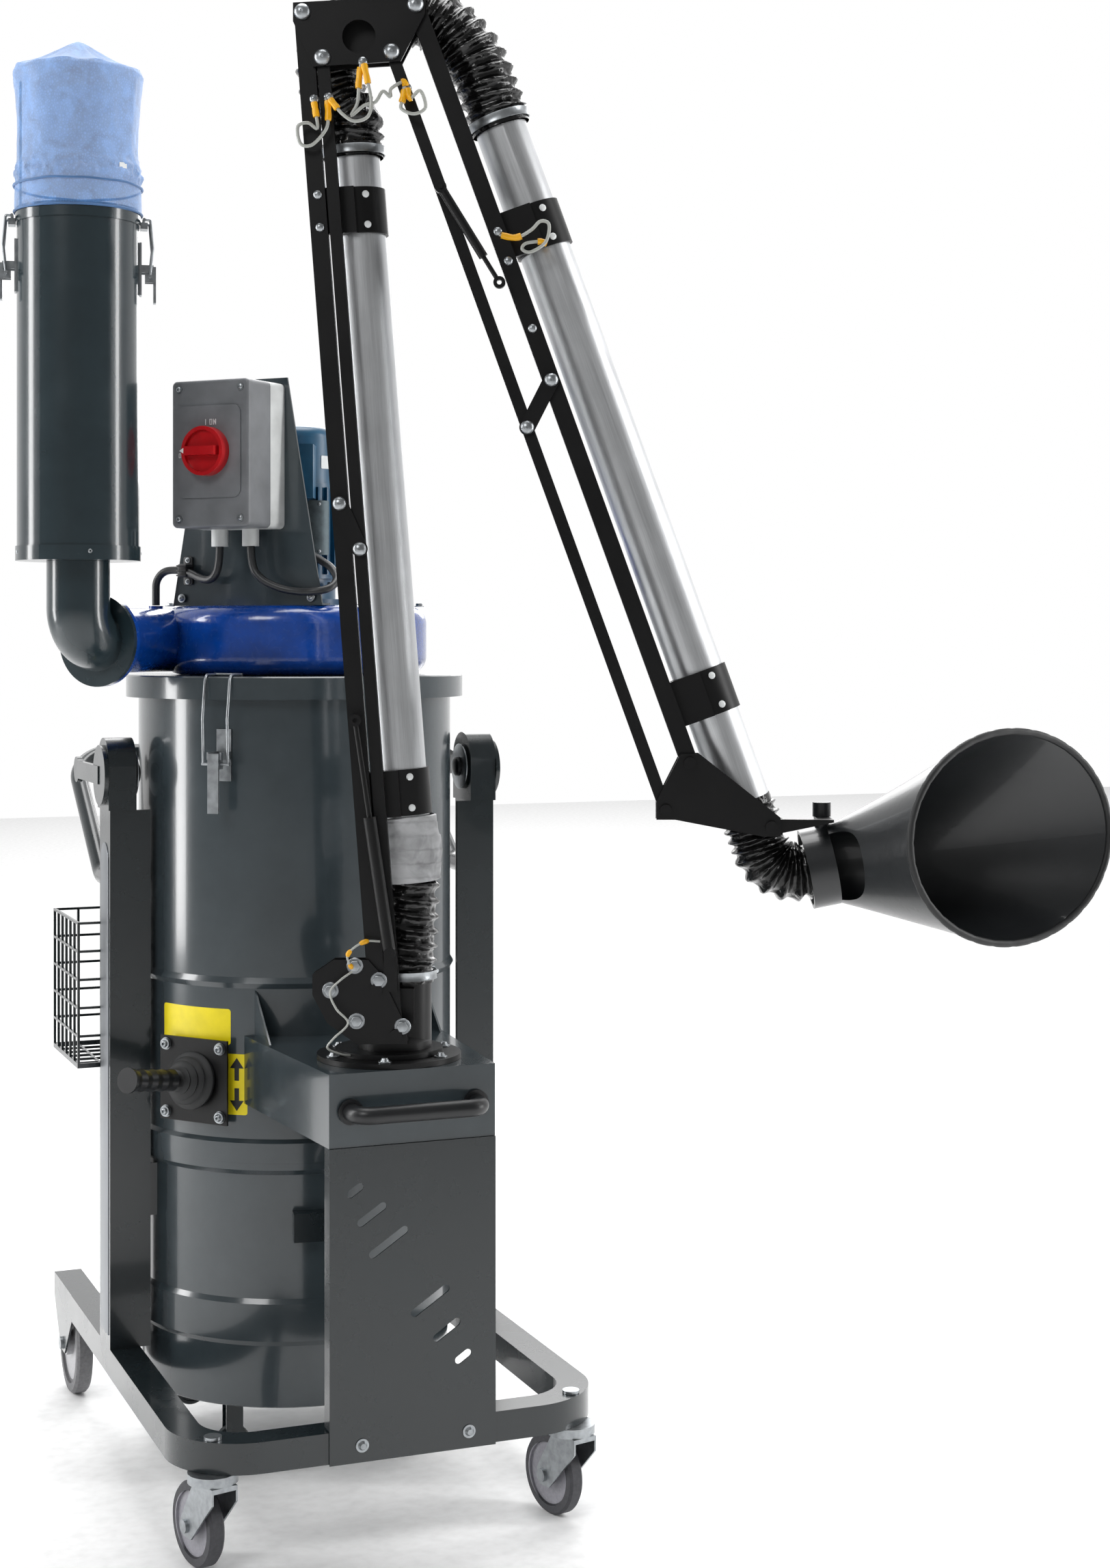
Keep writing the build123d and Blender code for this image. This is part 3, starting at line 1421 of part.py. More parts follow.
def make_arm_turret():
    """Turntable, bowl and upright pipe with the two shoulder plates."""
    top = turret_low + turntable_thick
    body = disc(turntable_radius, turret_low, top)
    bowl = turned([(0, top), (bowl_radius, top), (bowl_radius, top + bowl_height / 2),
                   (pipe_radius + sheet, top + bowl_height), (0, top + bowl_height)])
    body += Pos(bowl_x, 0, 0) * bowl
    stub = disc(pipe_radius, top, stub_top, stub_x)
    body += stub
    body -= disc(pipe_radius - pipe_wall, top + sheet, stub_top + overrun, stub_x)
    body -= disc(pipe_radius - 2 * pipe_wall, turret_low - overrun, top + 2 * sheet, bowl_x)
    tie_pivot = shifted(shoulder, lower_link_x, lower_link_z)
    outline = [shifted(shoulder, dx, dz) for dx, dz in shoulder_plate_outline]
    body += link_plates(outline, [shoulder, tie_pivot])
    lug = block(stub_x - lug_half, stub_x + lug_half, plate_back, -pipe_radius + sheet,
                stub_top - lug_low, stub_top - lug_high)
    body += lug
    foot = lower_strut_foot()
    body += side_plate([shifted(foot, -ear_half, -ear_drop), shifted(foot, ear_half, -ear_drop),
                        shifted(foot, ear_half, ear_half), shifted(foot, -ear_half, ear_half)],
                       plate_front, plate_front + plate_thick)
    body += cross_rod(foot, strut_mid - strut_eye_half, plate_front, strut_pin_radius)
    return at_arm(body)


def lower_strut_foot():
    return shifted(shoulder, strut_foot_x, strut_foot_z)


def lower_strut_top():
    return along(shoulder, lower_way, lower_side, strut_top_along, 0)


strut_eye_half = strut_tube_radius
strut_mid = plate_front - seat_gap - pivot_head - strut_tube_radius


def make_lower_beam():
    beam = make_bar(shoulder, elbow_rest, bar_wide, bar_near, bar_far)
    start = along(shoulder, lower_way, lower_side, lower_pipe_start, lower_pipe_offset)
    end = along(shoulder, lower_way, lower_side, lower_pipe_end, lower_pipe_offset)
    for clamp in make_clamps(start, end, lower_way, lower_side, lower_pipe_offset,
                             lower_clamp_shares):
        beam += clamp
    mid = along(shoulder, lower_way, lower_side, lower_mid_share * lower_long, 0)
    beam += cross_rod(mid, bar_near - plate_gap - plate_thick - pivot_head, bar_near, pivot_radius)
    return at_arm(beam)


def make_lower_pipe():
    start = along(shoulder, lower_way, lower_side, lower_pipe_start, lower_pipe_offset)
    end = along(shoulder, lower_way, lower_side, lower_pipe_end, lower_pipe_offset)
    return at_arm(make_pipe(start, end))


def make_lower_hose():
    """Hose from the upright's mouth to the lower pipe, with a wide cuff for the tape."""
    start = (stub_x, stub_top - hose_cuff)
    top = along(shoulder, lower_way, lower_side, lower_pipe_start + lower_hose_cuff,
                lower_pipe_offset)
    mouth = (stub_x, stub_top)
    pipe = along(shoulder, lower_way, lower_side, lower_pipe_start, lower_pipe_offset)
    lead = shifted(mouth, 0, lower_hose_lead)
    trail = along(pipe, lower_way, lower_side, -lower_hose_lead, 0)
    curve = hose_curve(start, [mouth, lead, trail, pipe], top)
    hose = make_hose(curve, lower_hose_ribs, hose_radius, hose_valley, hose_bore)
    return at_arm(hose)


def make_lower_tie_bar():
    low = shifted(shoulder, lower_link_x, lower_link_z)
    high = shifted(elbow_rest, lower_link_x, lower_link_z)
    bar = make_bar(low, high, tie_wide, bar_near, bar_far - tie_inset)
    mid = along(low, lower_way, lower_side, lower_mid_share * lower_long, 0)
    bar += cross_rod(mid, bar_near - plate_gap - plate_thick - pivot_head, bar_near, pivot_radius)
    return at_arm(bar)


def make_mid_link(first, second):
    """A short flat link in front of two bars, with a bore for each pivot."""
    y0 = bar_near - plate_gap - plate_thick
    a = Vector(first[0], 0, first[1])
    b = Vector(second[0], 0, second[1])
    middle = (a + b) / 2
    plane = Plane(origin=(middle.X, y0, middle.Z), x_dir=b - a, z_dir=(0, 1, 0))
    link = extrude(plane * SlotCenterToCenter((b - a).length, mid_link_wide), amount=plate_thick)
    link -= cross_rod(first, y0 - overrun, y0 + plate_thick + overrun, pivot_radius + fit_gap)
    link -= cross_rod(second, y0 - overrun, y0 + plate_thick + overrun, pivot_radius + link_slack)
    return link


lower_mid = along(shoulder, lower_way, lower_side, lower_mid_share * lower_long, 0)
outer_mid = along(outer_start, outer_way, outer_side, outer_mid_share * outer_long, 0)


def make_lower_mid_link():
    return at_arm(make_mid_link(lower_mid, shifted(lower_mid, lower_link_x, lower_link_z)))


def make_outer_mid_link():
    return at_arm(make_mid_link(outer_mid, shifted(outer_mid, outer_link_x, outer_link_z)))


def make_elbow_plate():
    """The two elbow plates with their four pivots and one round hole."""
    tie_pivot = shifted(elbow_rest, lower_link_x, lower_link_z)
    outer_tie = shifted(outer_start, outer_link_x, outer_link_z)
    edge = elbow_plate_edge
    outline = [
        shifted(elbow_rest, -edge, edge), shifted(outer_start, edge, edge),
        shifted(outer_start, edge, -edge), shifted(outer_tie, edge, -edge),
        shifted(tie_pivot, -edge, -edge), shifted(elbow_rest, -edge, -edge),
    ]
    plates = link_plates(outline, [elbow_rest, outer_start])
    plates += cross_rod(tie_pivot, plate_front - pivot_head, plate_back + plate_thick,
                        pivot_radius - link_slack)
    plates += cross_rod(tie_pivot, plate_front - pivot_head, plate_front, pivot_head_radius)
    plates += cross_rod(outer_tie, plate_front - pivot_head, plate_back + plate_thick, pivot_radius)
    plates += cross_rod(outer_tie, plate_front - pivot_head, plate_front, pivot_head_radius)
    hole = ((elbow_rest[0] + outer_start[0]) / 2, outer_start[1] - elbow_hole_drop)
    plates -= cross_rod(hole, plate_front - overrun, plate_front + plate_thick + overrun,
                        elbow_hole_radius)
    return at_arm(plates)


def make_elbow_hose():
    """Hose from the lower pipe, out to the rear, over the elbow and down to the outer pipe."""
    low = along(shoulder, lower_way, lower_side, lower_pipe_end - hose_cuff, lower_pipe_offset)
    leave = along(shoulder, lower_way, lower_side, lower_pipe_end, lower_pipe_offset)
    meet = along(outer_start, outer_way, outer_side, outer_pipe_start, outer_pipe_offset)
    end = along(outer_start, outer_way, outer_side, outer_pipe_start + hose_cuff, outer_pipe_offset)
    lead = along(leave, lower_way, lower_side, elbow_hose_lead, 0)
    trail = along(meet, outer_way, outer_side, -elbow_hose_lead_out, 0)
    curve = hose_curve(low, [leave, lead, *elbow_hose_poles, trail, meet], end)
    hose = make_hose(curve, elbow_hose_ribs, hose_radius, hose_valley, hose_bore)
    return at_arm(hose)


def make_outer_beam():
    beam = make_bar(outer_start, outer_end, bar_wide, bar_near, bar_far)
    start = along(outer_start, outer_way, outer_side, outer_pipe_start, outer_pipe_offset)
    end = along(outer_start, outer_way, outer_side, outer_pipe_end, outer_pipe_offset)
    for clamp in make_clamps(start, end, outer_way, outer_side, outer_pipe_offset,
                             outer_clamp_shares):
        beam += clamp
    beam += cross_rod(outer_mid, bar_near - plate_gap - plate_thick - pivot_head, bar_near,
                      pivot_radius)
    return at_arm(beam)


def make_outer_pipe():
    start = along(outer_start, outer_way, outer_side, outer_pipe_start, outer_pipe_offset)
    end = along(outer_start, outer_way, outer_side, outer_pipe_end, outer_pipe_offset)
    return at_arm(make_pipe(start, end))


def make_outer_tie_bar():
    low = shifted(outer_start, outer_link_x, outer_link_z)
    high = shifted(outer_end, outer_link_x, outer_link_z)
    bar = make_bar(low, high, tie_wide, bar_near, bar_far - tie_inset)
    mid = along(low, outer_way, outer_side, outer_mid_share * outer_long, 0)
    bar += cross_rod(mid, bar_near - plate_gap - plate_thick - pivot_head, bar_near, pivot_radius)
    top = outer_strut_top()
    bar += cross_rod(top, outer_strut_mid - strut_eye_half, bar_near, strut_pin_radius)
    return at_arm(bar)


def make_end_link():
    """End plates of the parallel bars, reaching out to the hood's tilt pivot."""
    tie = shifted(outer_end, outer_link_x, outer_link_z)
    edge = elbow_plate_edge
    outline = [
        shifted(outer_end, -edge, edge), shifted(outer_end, edge, edge),
        (hood_pivot_x + edge, hood_pivot_z + edge), (hood_pivot_x + edge, hood_pivot_z - edge),
        (hood_pivot_x - edge, hood_pivot_z - edge), shifted(tie, edge, -edge),
        shifted(tie, -edge, -edge), shifted(tie, -edge, edge),
    ]
    plates = link_plates(outline, [outer_end, (hood_pivot_x, hood_pivot_z)])
    plates += cross_rod(tie, plate_front - pivot_head, plate_back + plate_thick,
                        pivot_radius - link_slack)
    plates += cross_rod(tie, plate_front - pivot_head, plate_front, pivot_head_radius)
    return at_arm(plates)


# Gas struts. Each tube turns on its pin, each rod slides in its tube, and the rod's eye
# stands in front of its seat without a pin, because the loop is opened there.
outer_strut_mid = strut_mid


def outer_strut_top():
    tie = shifted(outer_start, outer_link_x, outer_link_z)
    return along(tie, outer_way, outer_side, outer_strut_top_along, 0)


def outer_strut_foot():
    return along(outer_start, outer_way, outer_side, outer_strut_foot_along, -outer_strut_foot_in)


def make_strut_tube(foot, top, radius, rod_radius, length):
    a = Vector(foot[0], strut_mid, foot[1])
    b = Vector(top[0], strut_mid, top[1])
    way = (b - a).normalized()
    start = a + way * (strut_eye_radius / 2)
    tube = rod(tuple(start), tuple(a + way * length), radius)
    tube += cross_rod(foot, strut_mid - radius, strut_mid + radius, strut_eye_radius)
    tube -= cross_rod(foot, strut_mid - strut_eye_half - overrun, strut_mid + strut_eye_half + overrun,
                      strut_pin_radius + fit_gap)
    inside = a + way * (strut_eye_radius + strut_pin_radius * 2)
    tube -= rod(tuple(inside), tuple(a + way * (length + overrun)), rod_radius + strut_bore_gap)
    return tube


def make_strut_rod(foot, top, rod_radius, inside):
    """Rod with its eye at the top; it reaches down into the tube."""
    a = Vector(foot[0], strut_mid, foot[1])
    b = Vector(top[0], strut_mid, top[1])
    way = (b - a).normalized()
    piece = rod(tuple(a + way * inside), tuple(b), rod_radius)
    eye = cross_rod(top, strut_mid - strut_eye_radius / 2, strut_mid + strut_eye_radius / 2,
                    strut_eye_radius)
    return piece + eye - cross_rod(top, strut_mid - strut_eye_radius, strut_mid + strut_eye_radius,
                                   strut_pin_radius + fit_gap)


def make_lower_strut_tube():
    return at_arm(make_strut_tube(lower_strut_foot(), lower_strut_top(), strut_tube_radius,
                                  strut_rod_radius, strut_tube_length))


def make_lower_strut_rod():
    return at_arm(make_strut_rod(lower_strut_foot(), lower_strut_top(), strut_rod_radius,
                                 strut_rod_inside))


def make_outer_strut_tube():
    return at_arm(make_strut_tube(outer_strut_top(), outer_strut_foot(), outer_strut_tube_radius,
                                  outer_strut_rod_radius, outer_strut_tube_length))


def make_outer_strut_rod():
    return at_arm(make_strut_rod(outer_strut_top(), outer_strut_foot(), outer_strut_rod_radius,
                                 outer_strut_rod_inside))


# Hood
hood_way = (math.cos(math.radians(hood_neck_rise)), math.sin(math.radians(hood_neck_rise)))


def make_hood_yoke():
    """Tongue on the tilt pivot and a strap over the collar, which the hood turns under."""
    strap_z = hood_boss_top
    tongue = [
        (hood_pivot_x - edge_half, hood_pivot_z - edge_half),
        (hood_pivot_x + edge_half, hood_pivot_z - edge_half),
        (hood_turn_x + edge_half, strap_z), (hood_turn_x + edge_half, strap_z + plate_thick),
        (hood_pivot_x - edge_half, hood_pivot_z + edge_half),
    ]
    yoke = side_plate(tongue, bar_near + plate_thick, bar_far - plate_thick)
    yoke += block(hood_turn_x - edge_half, hood_turn_x + edge_half, bar_near + plate_thick,
                  edge_half, strap_z, strap_z + plate_thick)
    yoke -= cross_rod((hood_pivot_x, hood_pivot_z), bar_near, bar_far, pivot_radius + fit_gap)
    yoke -= disc(pivot_radius + fit_gap, strap_z - overrun, strap_z + plate_thick + overrun,
                 hood_turn_x)
    return at_arm(yoke)


def hood_sections(inset, spread):
    """Neck circle and mouth ellipse of the hood, inset and moved apart for cuts."""
    neck = Plane(origin=(hood_neck_x + hood_way[0] * (hood_collar_length - spread), 0,
                         hood_neck_z + hood_way[1] * (hood_collar_length - spread)),
                 x_dir=(0, 1, 0), z_dir=(hood_way[0], 0, hood_way[1]))
    turn = math.radians(hood_mouth_turn)
    normal = (math.cos(turn), math.sin(turn), 0)
    across = (-math.sin(turn), math.cos(turn), 0)
    mouth = Plane(origin=(hood_mouth_x + normal[0] * spread, hood_mouth_y + normal[1] * spread,
                          hood_mouth_z), x_dir=across, z_dir=normal)
    half_wide = hood_mouth_half_width - inset
    half_high = hood_mouth_half_height - inset
    return [neck * Circle(hood_neck_radius - inset), mouth * Ellipse(half_wide, half_high)]


def make_hood():
    """Collar, turned cone with an oval mouth and the stud and knob it turns on."""
    shell = loft(hood_sections(0, 0)) - loft(hood_sections(hood_wall, overrun))
    neck = (hood_neck_x, hood_neck_z)
    low = along(neck, hood_way, hood_way, hose_overlap_share * hood_collar_length, 0)
    high = along(neck, hood_way, hood_way, hood_collar_length + overrun, 0)
    collar = rod((low[0], 0, low[1]), (high[0], 0, high[1]), hood_collar_radius)
    bore_start = along(low, hood_way, hood_way, -overrun, 0)
    bore_end = along(high, hood_way, hood_way, overrun, 0)
    collar -= rod((bore_start[0], 0, bore_start[1]), (bore_end[0], 0, bore_end[1]),
                  hood_neck_radius - hood_wall)
    boss = disc(edge_half, hood_neck_z + hood_neck_radius, hood_boss_top - seat_gap, hood_turn_x)
    boss += disc(pivot_radius, hood_boss_top - edge_half, hood_boss_top + plate_thick + knob_stem,
                 hood_turn_x)
    boss += disc(hood_knob_radius, hood_boss_top + plate_thick + seat_gap,
                 hood_boss_top + plate_thick + knob_stem, hood_turn_x)
    boss -= rod((bore_start[0], 0, bore_start[1]), (bore_end[0], 0, bore_end[1]),
                hood_neck_radius - hood_wall)
    return at_arm(shell + collar + boss)


def make_hood_hose():
    """Hose straight on from the outer pipe, then round one bend into the hood's neck."""
    start = along(outer_start, outer_way, outer_side, outer_pipe_end - hose_cuff, outer_pipe_offset)
    leave = along(outer_start, outer_way, outer_side, outer_pipe_end, outer_pipe_offset)
    neck = (hood_neck_x, hood_neck_z)
    cross = outer_way[0] * hood_way[1] - outer_way[1] * hood_way[0]
    gap = (neck[0] - leave[0], neck[1] - leave[1])
    reach = (gap[0] * hood_way[1] - gap[1] * hood_way[0]) / cross
    corner = along(leave, outer_way, outer_side, reach, 0)
    end = along(neck, hood_way, hood_way, hood_collar_length, 0)
    spots = [(x, 0, z) for x, z in (leave, corner, neck)]
    bend = FilletPolyline(*spots, radius=[hood_hose_bend])
    first = Line((start[0], 0, start[1]), spots[0])
    last = Line(spots[-1], (end[0], 0, end[1]))
    curve = first, bend, last
    return at_arm(make_hose(curve, hood_hose_ribs, hose_radius, hose_valley, hose_bore))


nodes = {
    "base_frame": make_base_frame(),
    "uprights": make_uprights(),
    "push_handle": make_push_handle(),
    "basket": make_basket(),
    "chamber": make_chamber(),
    "lid": make_lid(),
    "filter": make_filter(),
    "inlet_box": make_inlet_box(),
    "front_handle": make_front_handle(),
    "front_cover": make_front_cover(),
    "fan_scroll": make_fan_scroll(),
    "motor": make_motor(),
    "silencer": make_silencer(),
    "outlet_net": make_outlet_net(),
    "switch_bracket": make_switch_bracket(),
    "switch_base": make_switch_base(),
    "switch_cover": make_switch_cover(),
    "cables": make_cables(),
    "shaker_plate": make_shaker_plate(),
    "shaker_boot": make_shaker_boot(),
    "arm_flange": make_arm_flange(),
    "zinc_fittings": make_zinc_fittings(),
    "fan_rotor": make_fan_rotor(),
    "switch_knob": make_switch_knob(),
    "shaker_handle": make_shaker_handle(),
    "bin": make_bin(),
    "bin_fittings": make_bin_fittings(),
    "lift_levers": make_lift_levers(),
    "lid_latch_lever": around(lid_latch[1], latch_angle),
    "lid_latch_loop": around(lid_latch[2], latch_angle),
    "silencer_latch_lever_1": at_silencer(Rot(0, 0, silencer_latch_turns[0]) * silencer_latch[1]),
    "silencer_latch_loop_1": at_silencer(Rot(0, 0, silencer_latch_turns[0]) * silencer_latch[2]),
    "silencer_latch_lever_2": at_silencer(Rot(0, 0, silencer_latch_turns[1]) * silencer_latch[1]),
    "silencer_latch_loop_2": at_silencer(Rot(0, 0, silencer_latch_turns[1]) * silencer_latch[2]),
    "caster_fork_left": make_caster_fork(-1),
    "caster_fork_right": make_caster_fork(1),
    "caster_wheel_left": make_caster_wheel(-1),
    "caster_wheel_right": make_caster_wheel(1),
    "rear_wheel_left": mirror(make_rear_wheel(), about=Plane.YZ),
    "rear_wheel_right": make_rear_wheel(),
    "arm_turret": make_arm_turret(),
    "lower_beam": make_lower_beam(),
    "lower_pipe": make_lower_pipe(),
    "lower_hose": make_lower_hose(),
    "lower_tie_bar": make_lower_tie_bar(),
    "lower_mid_link": make_lower_mid_link(),
    "lower_strut_tube": make_lower_strut_tube(),
    "lower_strut_rod": make_lower_strut_rod(),
    "elbow_plate": make_elbow_plate(),
    "elbow_hose": make_elbow_hose(),
    "outer_beam": make_outer_beam(),
    "outer_pipe": make_outer_pipe(),
    "outer_tie_bar": make_outer_tie_bar(),
    "outer_mid_link": make_outer_mid_link(),
    "outer_strut_tube": make_outer_strut_tube(),
    "outer_strut_rod": make_outer_strut_rod(),
    "end_link": make_end_link(),
    "hood_yoke": make_hood_yoke(),
    "hood": make_hood(),
    "hood_hose": make_hood_hose(),
}

os.makedirs("parts", exist_ok=True)
for name, shape in nodes.items():
    shape.label = name
    export_step(shape, "parts/" + name + ".step")
    print(name, len(shape.solids()), round(shape.volume))
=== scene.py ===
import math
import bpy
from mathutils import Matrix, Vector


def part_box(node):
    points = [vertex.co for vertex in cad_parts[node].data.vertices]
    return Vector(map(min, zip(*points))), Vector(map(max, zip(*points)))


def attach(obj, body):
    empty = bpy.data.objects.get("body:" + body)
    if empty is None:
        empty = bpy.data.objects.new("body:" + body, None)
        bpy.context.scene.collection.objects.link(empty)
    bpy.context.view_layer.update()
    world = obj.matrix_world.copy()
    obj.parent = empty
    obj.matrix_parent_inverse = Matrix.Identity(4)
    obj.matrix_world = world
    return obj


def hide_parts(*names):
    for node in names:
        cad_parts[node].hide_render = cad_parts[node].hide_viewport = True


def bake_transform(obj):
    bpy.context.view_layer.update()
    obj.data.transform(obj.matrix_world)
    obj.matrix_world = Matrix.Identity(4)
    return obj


bl_info = {
    "name": "Dust collector",
    "version": (1, 0, 0),
    "blender": (4, 5, 0),
    "location": "View3D > Sidebar > Dust collector",
    "description": "Dresses a mobile dust collector with a suction arm and sets up its studio",
    "category": "Add Mesh",
}

import bmesh
import bpy
from bpy.props import FloatProperty, FloatVectorProperty, PointerProperty
from mathutils import Matrix, Vector, noise

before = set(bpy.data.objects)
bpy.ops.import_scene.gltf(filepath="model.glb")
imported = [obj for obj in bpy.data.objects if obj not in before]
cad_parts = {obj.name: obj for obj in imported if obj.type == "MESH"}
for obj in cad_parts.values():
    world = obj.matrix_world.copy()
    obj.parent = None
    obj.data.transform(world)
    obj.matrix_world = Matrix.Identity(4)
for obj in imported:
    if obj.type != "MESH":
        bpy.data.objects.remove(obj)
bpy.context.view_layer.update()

MM = 0.001

# Places of the machine's parts, as in the part's source, in millimetres
OUTLET_TURN = 221.6
SILENCER_REACH = 404.3
OUTLET_OFFSET = -150.0
SHAKER_TURN = 218.0
SHAKER_HEIGHT = 649.0
ARM_FOOT = (10.0, -490.0)
ARM_TURN = -22.0
SHOULDER = (-13.6, 838.7)
LOWER_REACH = (-111.0, 1465.0)
ELBOW = (45.0, 2315.0)
OUTER_REACH = (411.0, -1137.0)
LOWER_LINK = (30.0, -68.0)
OUTER_LINK = (-36.0, -71.0)
LOWER_PIPE_OFFSET = 55.0
OUTER_PIPE_OFFSET = 61.0
DRUM_RADIUS = 266.0

# Near faces of the arm's bars, link bosses and plates, in millimetres along the arm's own Y
BAR_FACE = -72.1
BOSS_FACE = -77.4
PLATE_FACE = -77.6

# The camera as fitted to the photo: its picture in pixels, its place in millimetres
PHOTO_HEIGHT = 2295.0
FOCAL_LENGTH = 3452.9
HORIZON_ROW = 930.4
CAMERA_TURN = 22.0
CAMERA_SIDE = -446.8
CAMERA_BACK = 4062.8
CAMERA_HEIGHT = 1368.9


def unit(v):
    long = math.hypot(*v)
    return (v[0] / long, v[1] / long)


LOWER_WAY = unit(LOWER_REACH)
LOWER_SIDE = (LOWER_WAY[1], -LOWER_WAY[0])
OUTER_WAY = unit(OUTER_REACH)
OUTER_SIDE = (-OUTER_WAY[1], OUTER_WAY[0])


def spin(degrees, axis="Z"):
    return Matrix.Rotation(math.radians(degrees), 4, axis)


def move(x, y, z):
    return Matrix.Translation(Vector((x, y, z)) * MM)


ARM = move(ARM_FOOT[0], ARM_FOOT[1], 0) @ spin(ARM_TURN)
OUTLET = spin(OUTLET_TURN)
SILENCER = OUTLET @ move(SILENCER_REACH, OUTLET_OFFSET, 0)
SWITCH = OUTLET @ move(150, 0, 0)
SHAKER = spin(SHAKER_TURN)


def arm_point(x, z, y=0.0):
    """A place in the arm's own plane, in metres of the whole frame."""
    return ARM @ (Vector((x, y, z)) * MM)


def arm_way(way):
    """A direction in the arm's own plane, in the whole frame."""
    return ARM.to_3x3() @ Vector((way[0], 0, way[1]))


def along(start, way, distance, side=(0, 0), off=0):
    return (start[0] + way[0] * distance + side[0] * off, start[1] + way[1] * distance + side[1] * off)


# Mesh making
def new_object(name, bm, material, place=None, smooth=True):
    mesh = bpy.data.meshes.new(name)
    bmesh.ops.recalc_face_normals(bm, faces=bm.faces)
    bm.to_mesh(mesh)
    bm.free()
    if place is not None:
        mesh.transform(place)
    obj = bpy.data.objects.new(name, mesh)
    bpy.context.scene.collection.objects.link(obj)
    mesh.materials.append(material)
    for face in mesh.polygons:
        face.use_smooth = smooth
    if smooth:
        mesh.set_sharp_from_angle(angle=math.radians(38))
    return obj


def fit(body, name, bm, finish, place=None, smooth=True):
    """A piece in its finish that rides on a body."""
    piece = new_object(name, bm, finish_of(finish), place, smooth)
    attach(piece, body)
    return piece


def skin(bm, rings, closed=False):
    """Faces from each ring of points to the next, and from the last to the first where closed."""
    for a, b in zip(rings, rings[1:] + (rings[:1] if closed else [])):
        for j in range(len(a)):
            k = (j + 1) % len(a)
            bm.faces.new((a[j], a[k], b[k], b[j]))


def lathe(profile, segments=48):
    """Surface of revolution about Z from (radius, height) pairs in millimetres."""
    bm = bmesh.new()
    rows = []
    for i in range(segments):
        a = 2 * math.pi * i / segments
        row = [bm.verts.new(Vector((r * math.cos(a), r * math.sin(a), z)) * MM) for r, z in profile]
        rows.append(row)
    for i in range(segments):
        a, b = rows[i], rows[(i + 1) % segments]
        for j in range(len(profile) - 1):
            bm.faces.new((a[j], b[j], b[j + 1], a[j + 1]))
    bmesh.ops.remove_doubles(bm, verts=bm.verts, dist=1e-6)
    return bm


def slab(outline, low, high, edge=0.0):
    """A flat plate from (x, y) points in millimetres, with its upper edge bevelled."""
    bm = bmesh.new()
    base = [bm.verts.new(Vector((x, y, low)) * MM) for x, y in outline]
    face = bm.faces.new(base)
    top = bmesh.ops.extrude_face_region(bm, geom=[face])
    moved = [g for g in top["geom"] if isinstance(g, bmesh.types.BMVert)]
    bmesh.ops.translate(bm, verts=moved, vec=Vector((0, 0, high - low)) * MM)
    if edge:
        rim = [e for e in bm.edges if all(v in moved for v in e.verts)]
        bmesh.ops.bevel(bm, geom=rim, offset=edge * MM, segments=3, affect="EDGES", profile=0.5)
    return bm


def round_rect(width, height, corner, steps=5):
    """Corner points of a rounded rectangle about the origin."""
    points = []
    for cx, cy, start in ((1, 1, 0), (-1, 1, 90), (-1, -1, 180), (1, -1, 270)):
        for i in range(steps + 1):
            a = math.radians(start + 90 * i / steps)
            x = cx * (width / 2 - corner) + corner * math.cos(a)
            y = cy * (height / 2 - corner) + corner * math.sin(a)
            points.append((x, y))
    return points


def pipe(points, radii, segments=14, closed=False):
    """A tube through points in metres; radii in metres, one for all or one each."""
    bm = bmesh.new()
    count = len(points)
    if not isinstance(radii, (list, tuple)):
        radii = [radii] * count
    rings = []
    side = None
    for i, point in enumerate(points):
        before = points[(i - 1) % count] if closed or i else points[i]
        after = points[(i + 1) % count] if closed or i < count - 1 else points[i]
        way = (after - before).normalized()
        if side is None:
            side = way.orthogonal().normalized()
        side = (side - way * side.dot(way)).normalized()
        up = way.cross(side)
        ring = []
        for j in range(segments):
            a = 2 * math.pi * j / segments
            offset = side * math.cos(a) * radii[i] + up * math.sin(a) * radii[i]
            ring.append(bm.verts.new(point + offset))
        rings.append(ring)
    skin(bm, rings, closed)
    if not closed:
        bm.faces.new(rings[0][::-1])
        bm.faces.new(rings[-1])
    return bm


def merge(*parts):
    """Joins several meshes in the making into one."""
    whole = parts[0]
    for part in parts[1:]:
        mesh = bpy.data.meshes.new("part")
        part.to_mesh(mesh)
        part.free()
        whole.from_mesh(mesh)
        bpy.data.meshes.remove(mesh)
    return whole


def moved(bm, place):
    bm.transform(place)
    return bm


def facing(point, way):
    """Place for a piece drawn standing on the XY plane, put at a point and facing a way."""
    way = Vector(way).normalized()
    return Matrix.Translation(Vector(point)) @ way.to_track_quat("Z", "Y").to_matrix().to_4x4()


def round_spots(count, first, radius, height, upright=True):
    """Evenly spaced places on a circle about Z, facing up or else outwards."""
    spots = []
    for i in range(count):
        a = math.radians(first + 360 / count * i)
        out = (math.cos(a), math.sin(a), 0)
        spot = Vector((radius * out[0], radius * out[1], height)) * MM
        spots.append(facing(spot, (0, 0, 1) if upright else out))
    return spots


def dome_bolt(radius, height):
    """Washer, domed head and its hexagon socket."""
    washer = [(0, 0), (radius * 1.45, 0), (radius * 1.5, 0.6), (radius * 1.45, 1.4), (radius, 1.5)]
    dome = []
    for i in range(5):
        a = math.radians(8 + 56 * i / 4)
        dome.append((radius * math.cos(a) * 1.01, 1.5 + height * math.sin(a)))
    socket = [(radius * 0.42, dome[-1][1]), (radius * 0.36, 2.2), (0, 2.0)]
    return lathe(washer + dome + socket, 20)


def button_bolt(radius, height):
    """Plated button head: one smooth dome with a small blunt socket."""
    dome = [(radius, 0)]
    for i in range(9):
        a = math.radians(10 + 68 * i / 8)
        dome.append((radius * math.cos(a), height * math.sin(a)))
    return lathe([(0, 0)] + dome + [(radius * 0.16, height * 0.9), (0, height * 0.9)], 28)


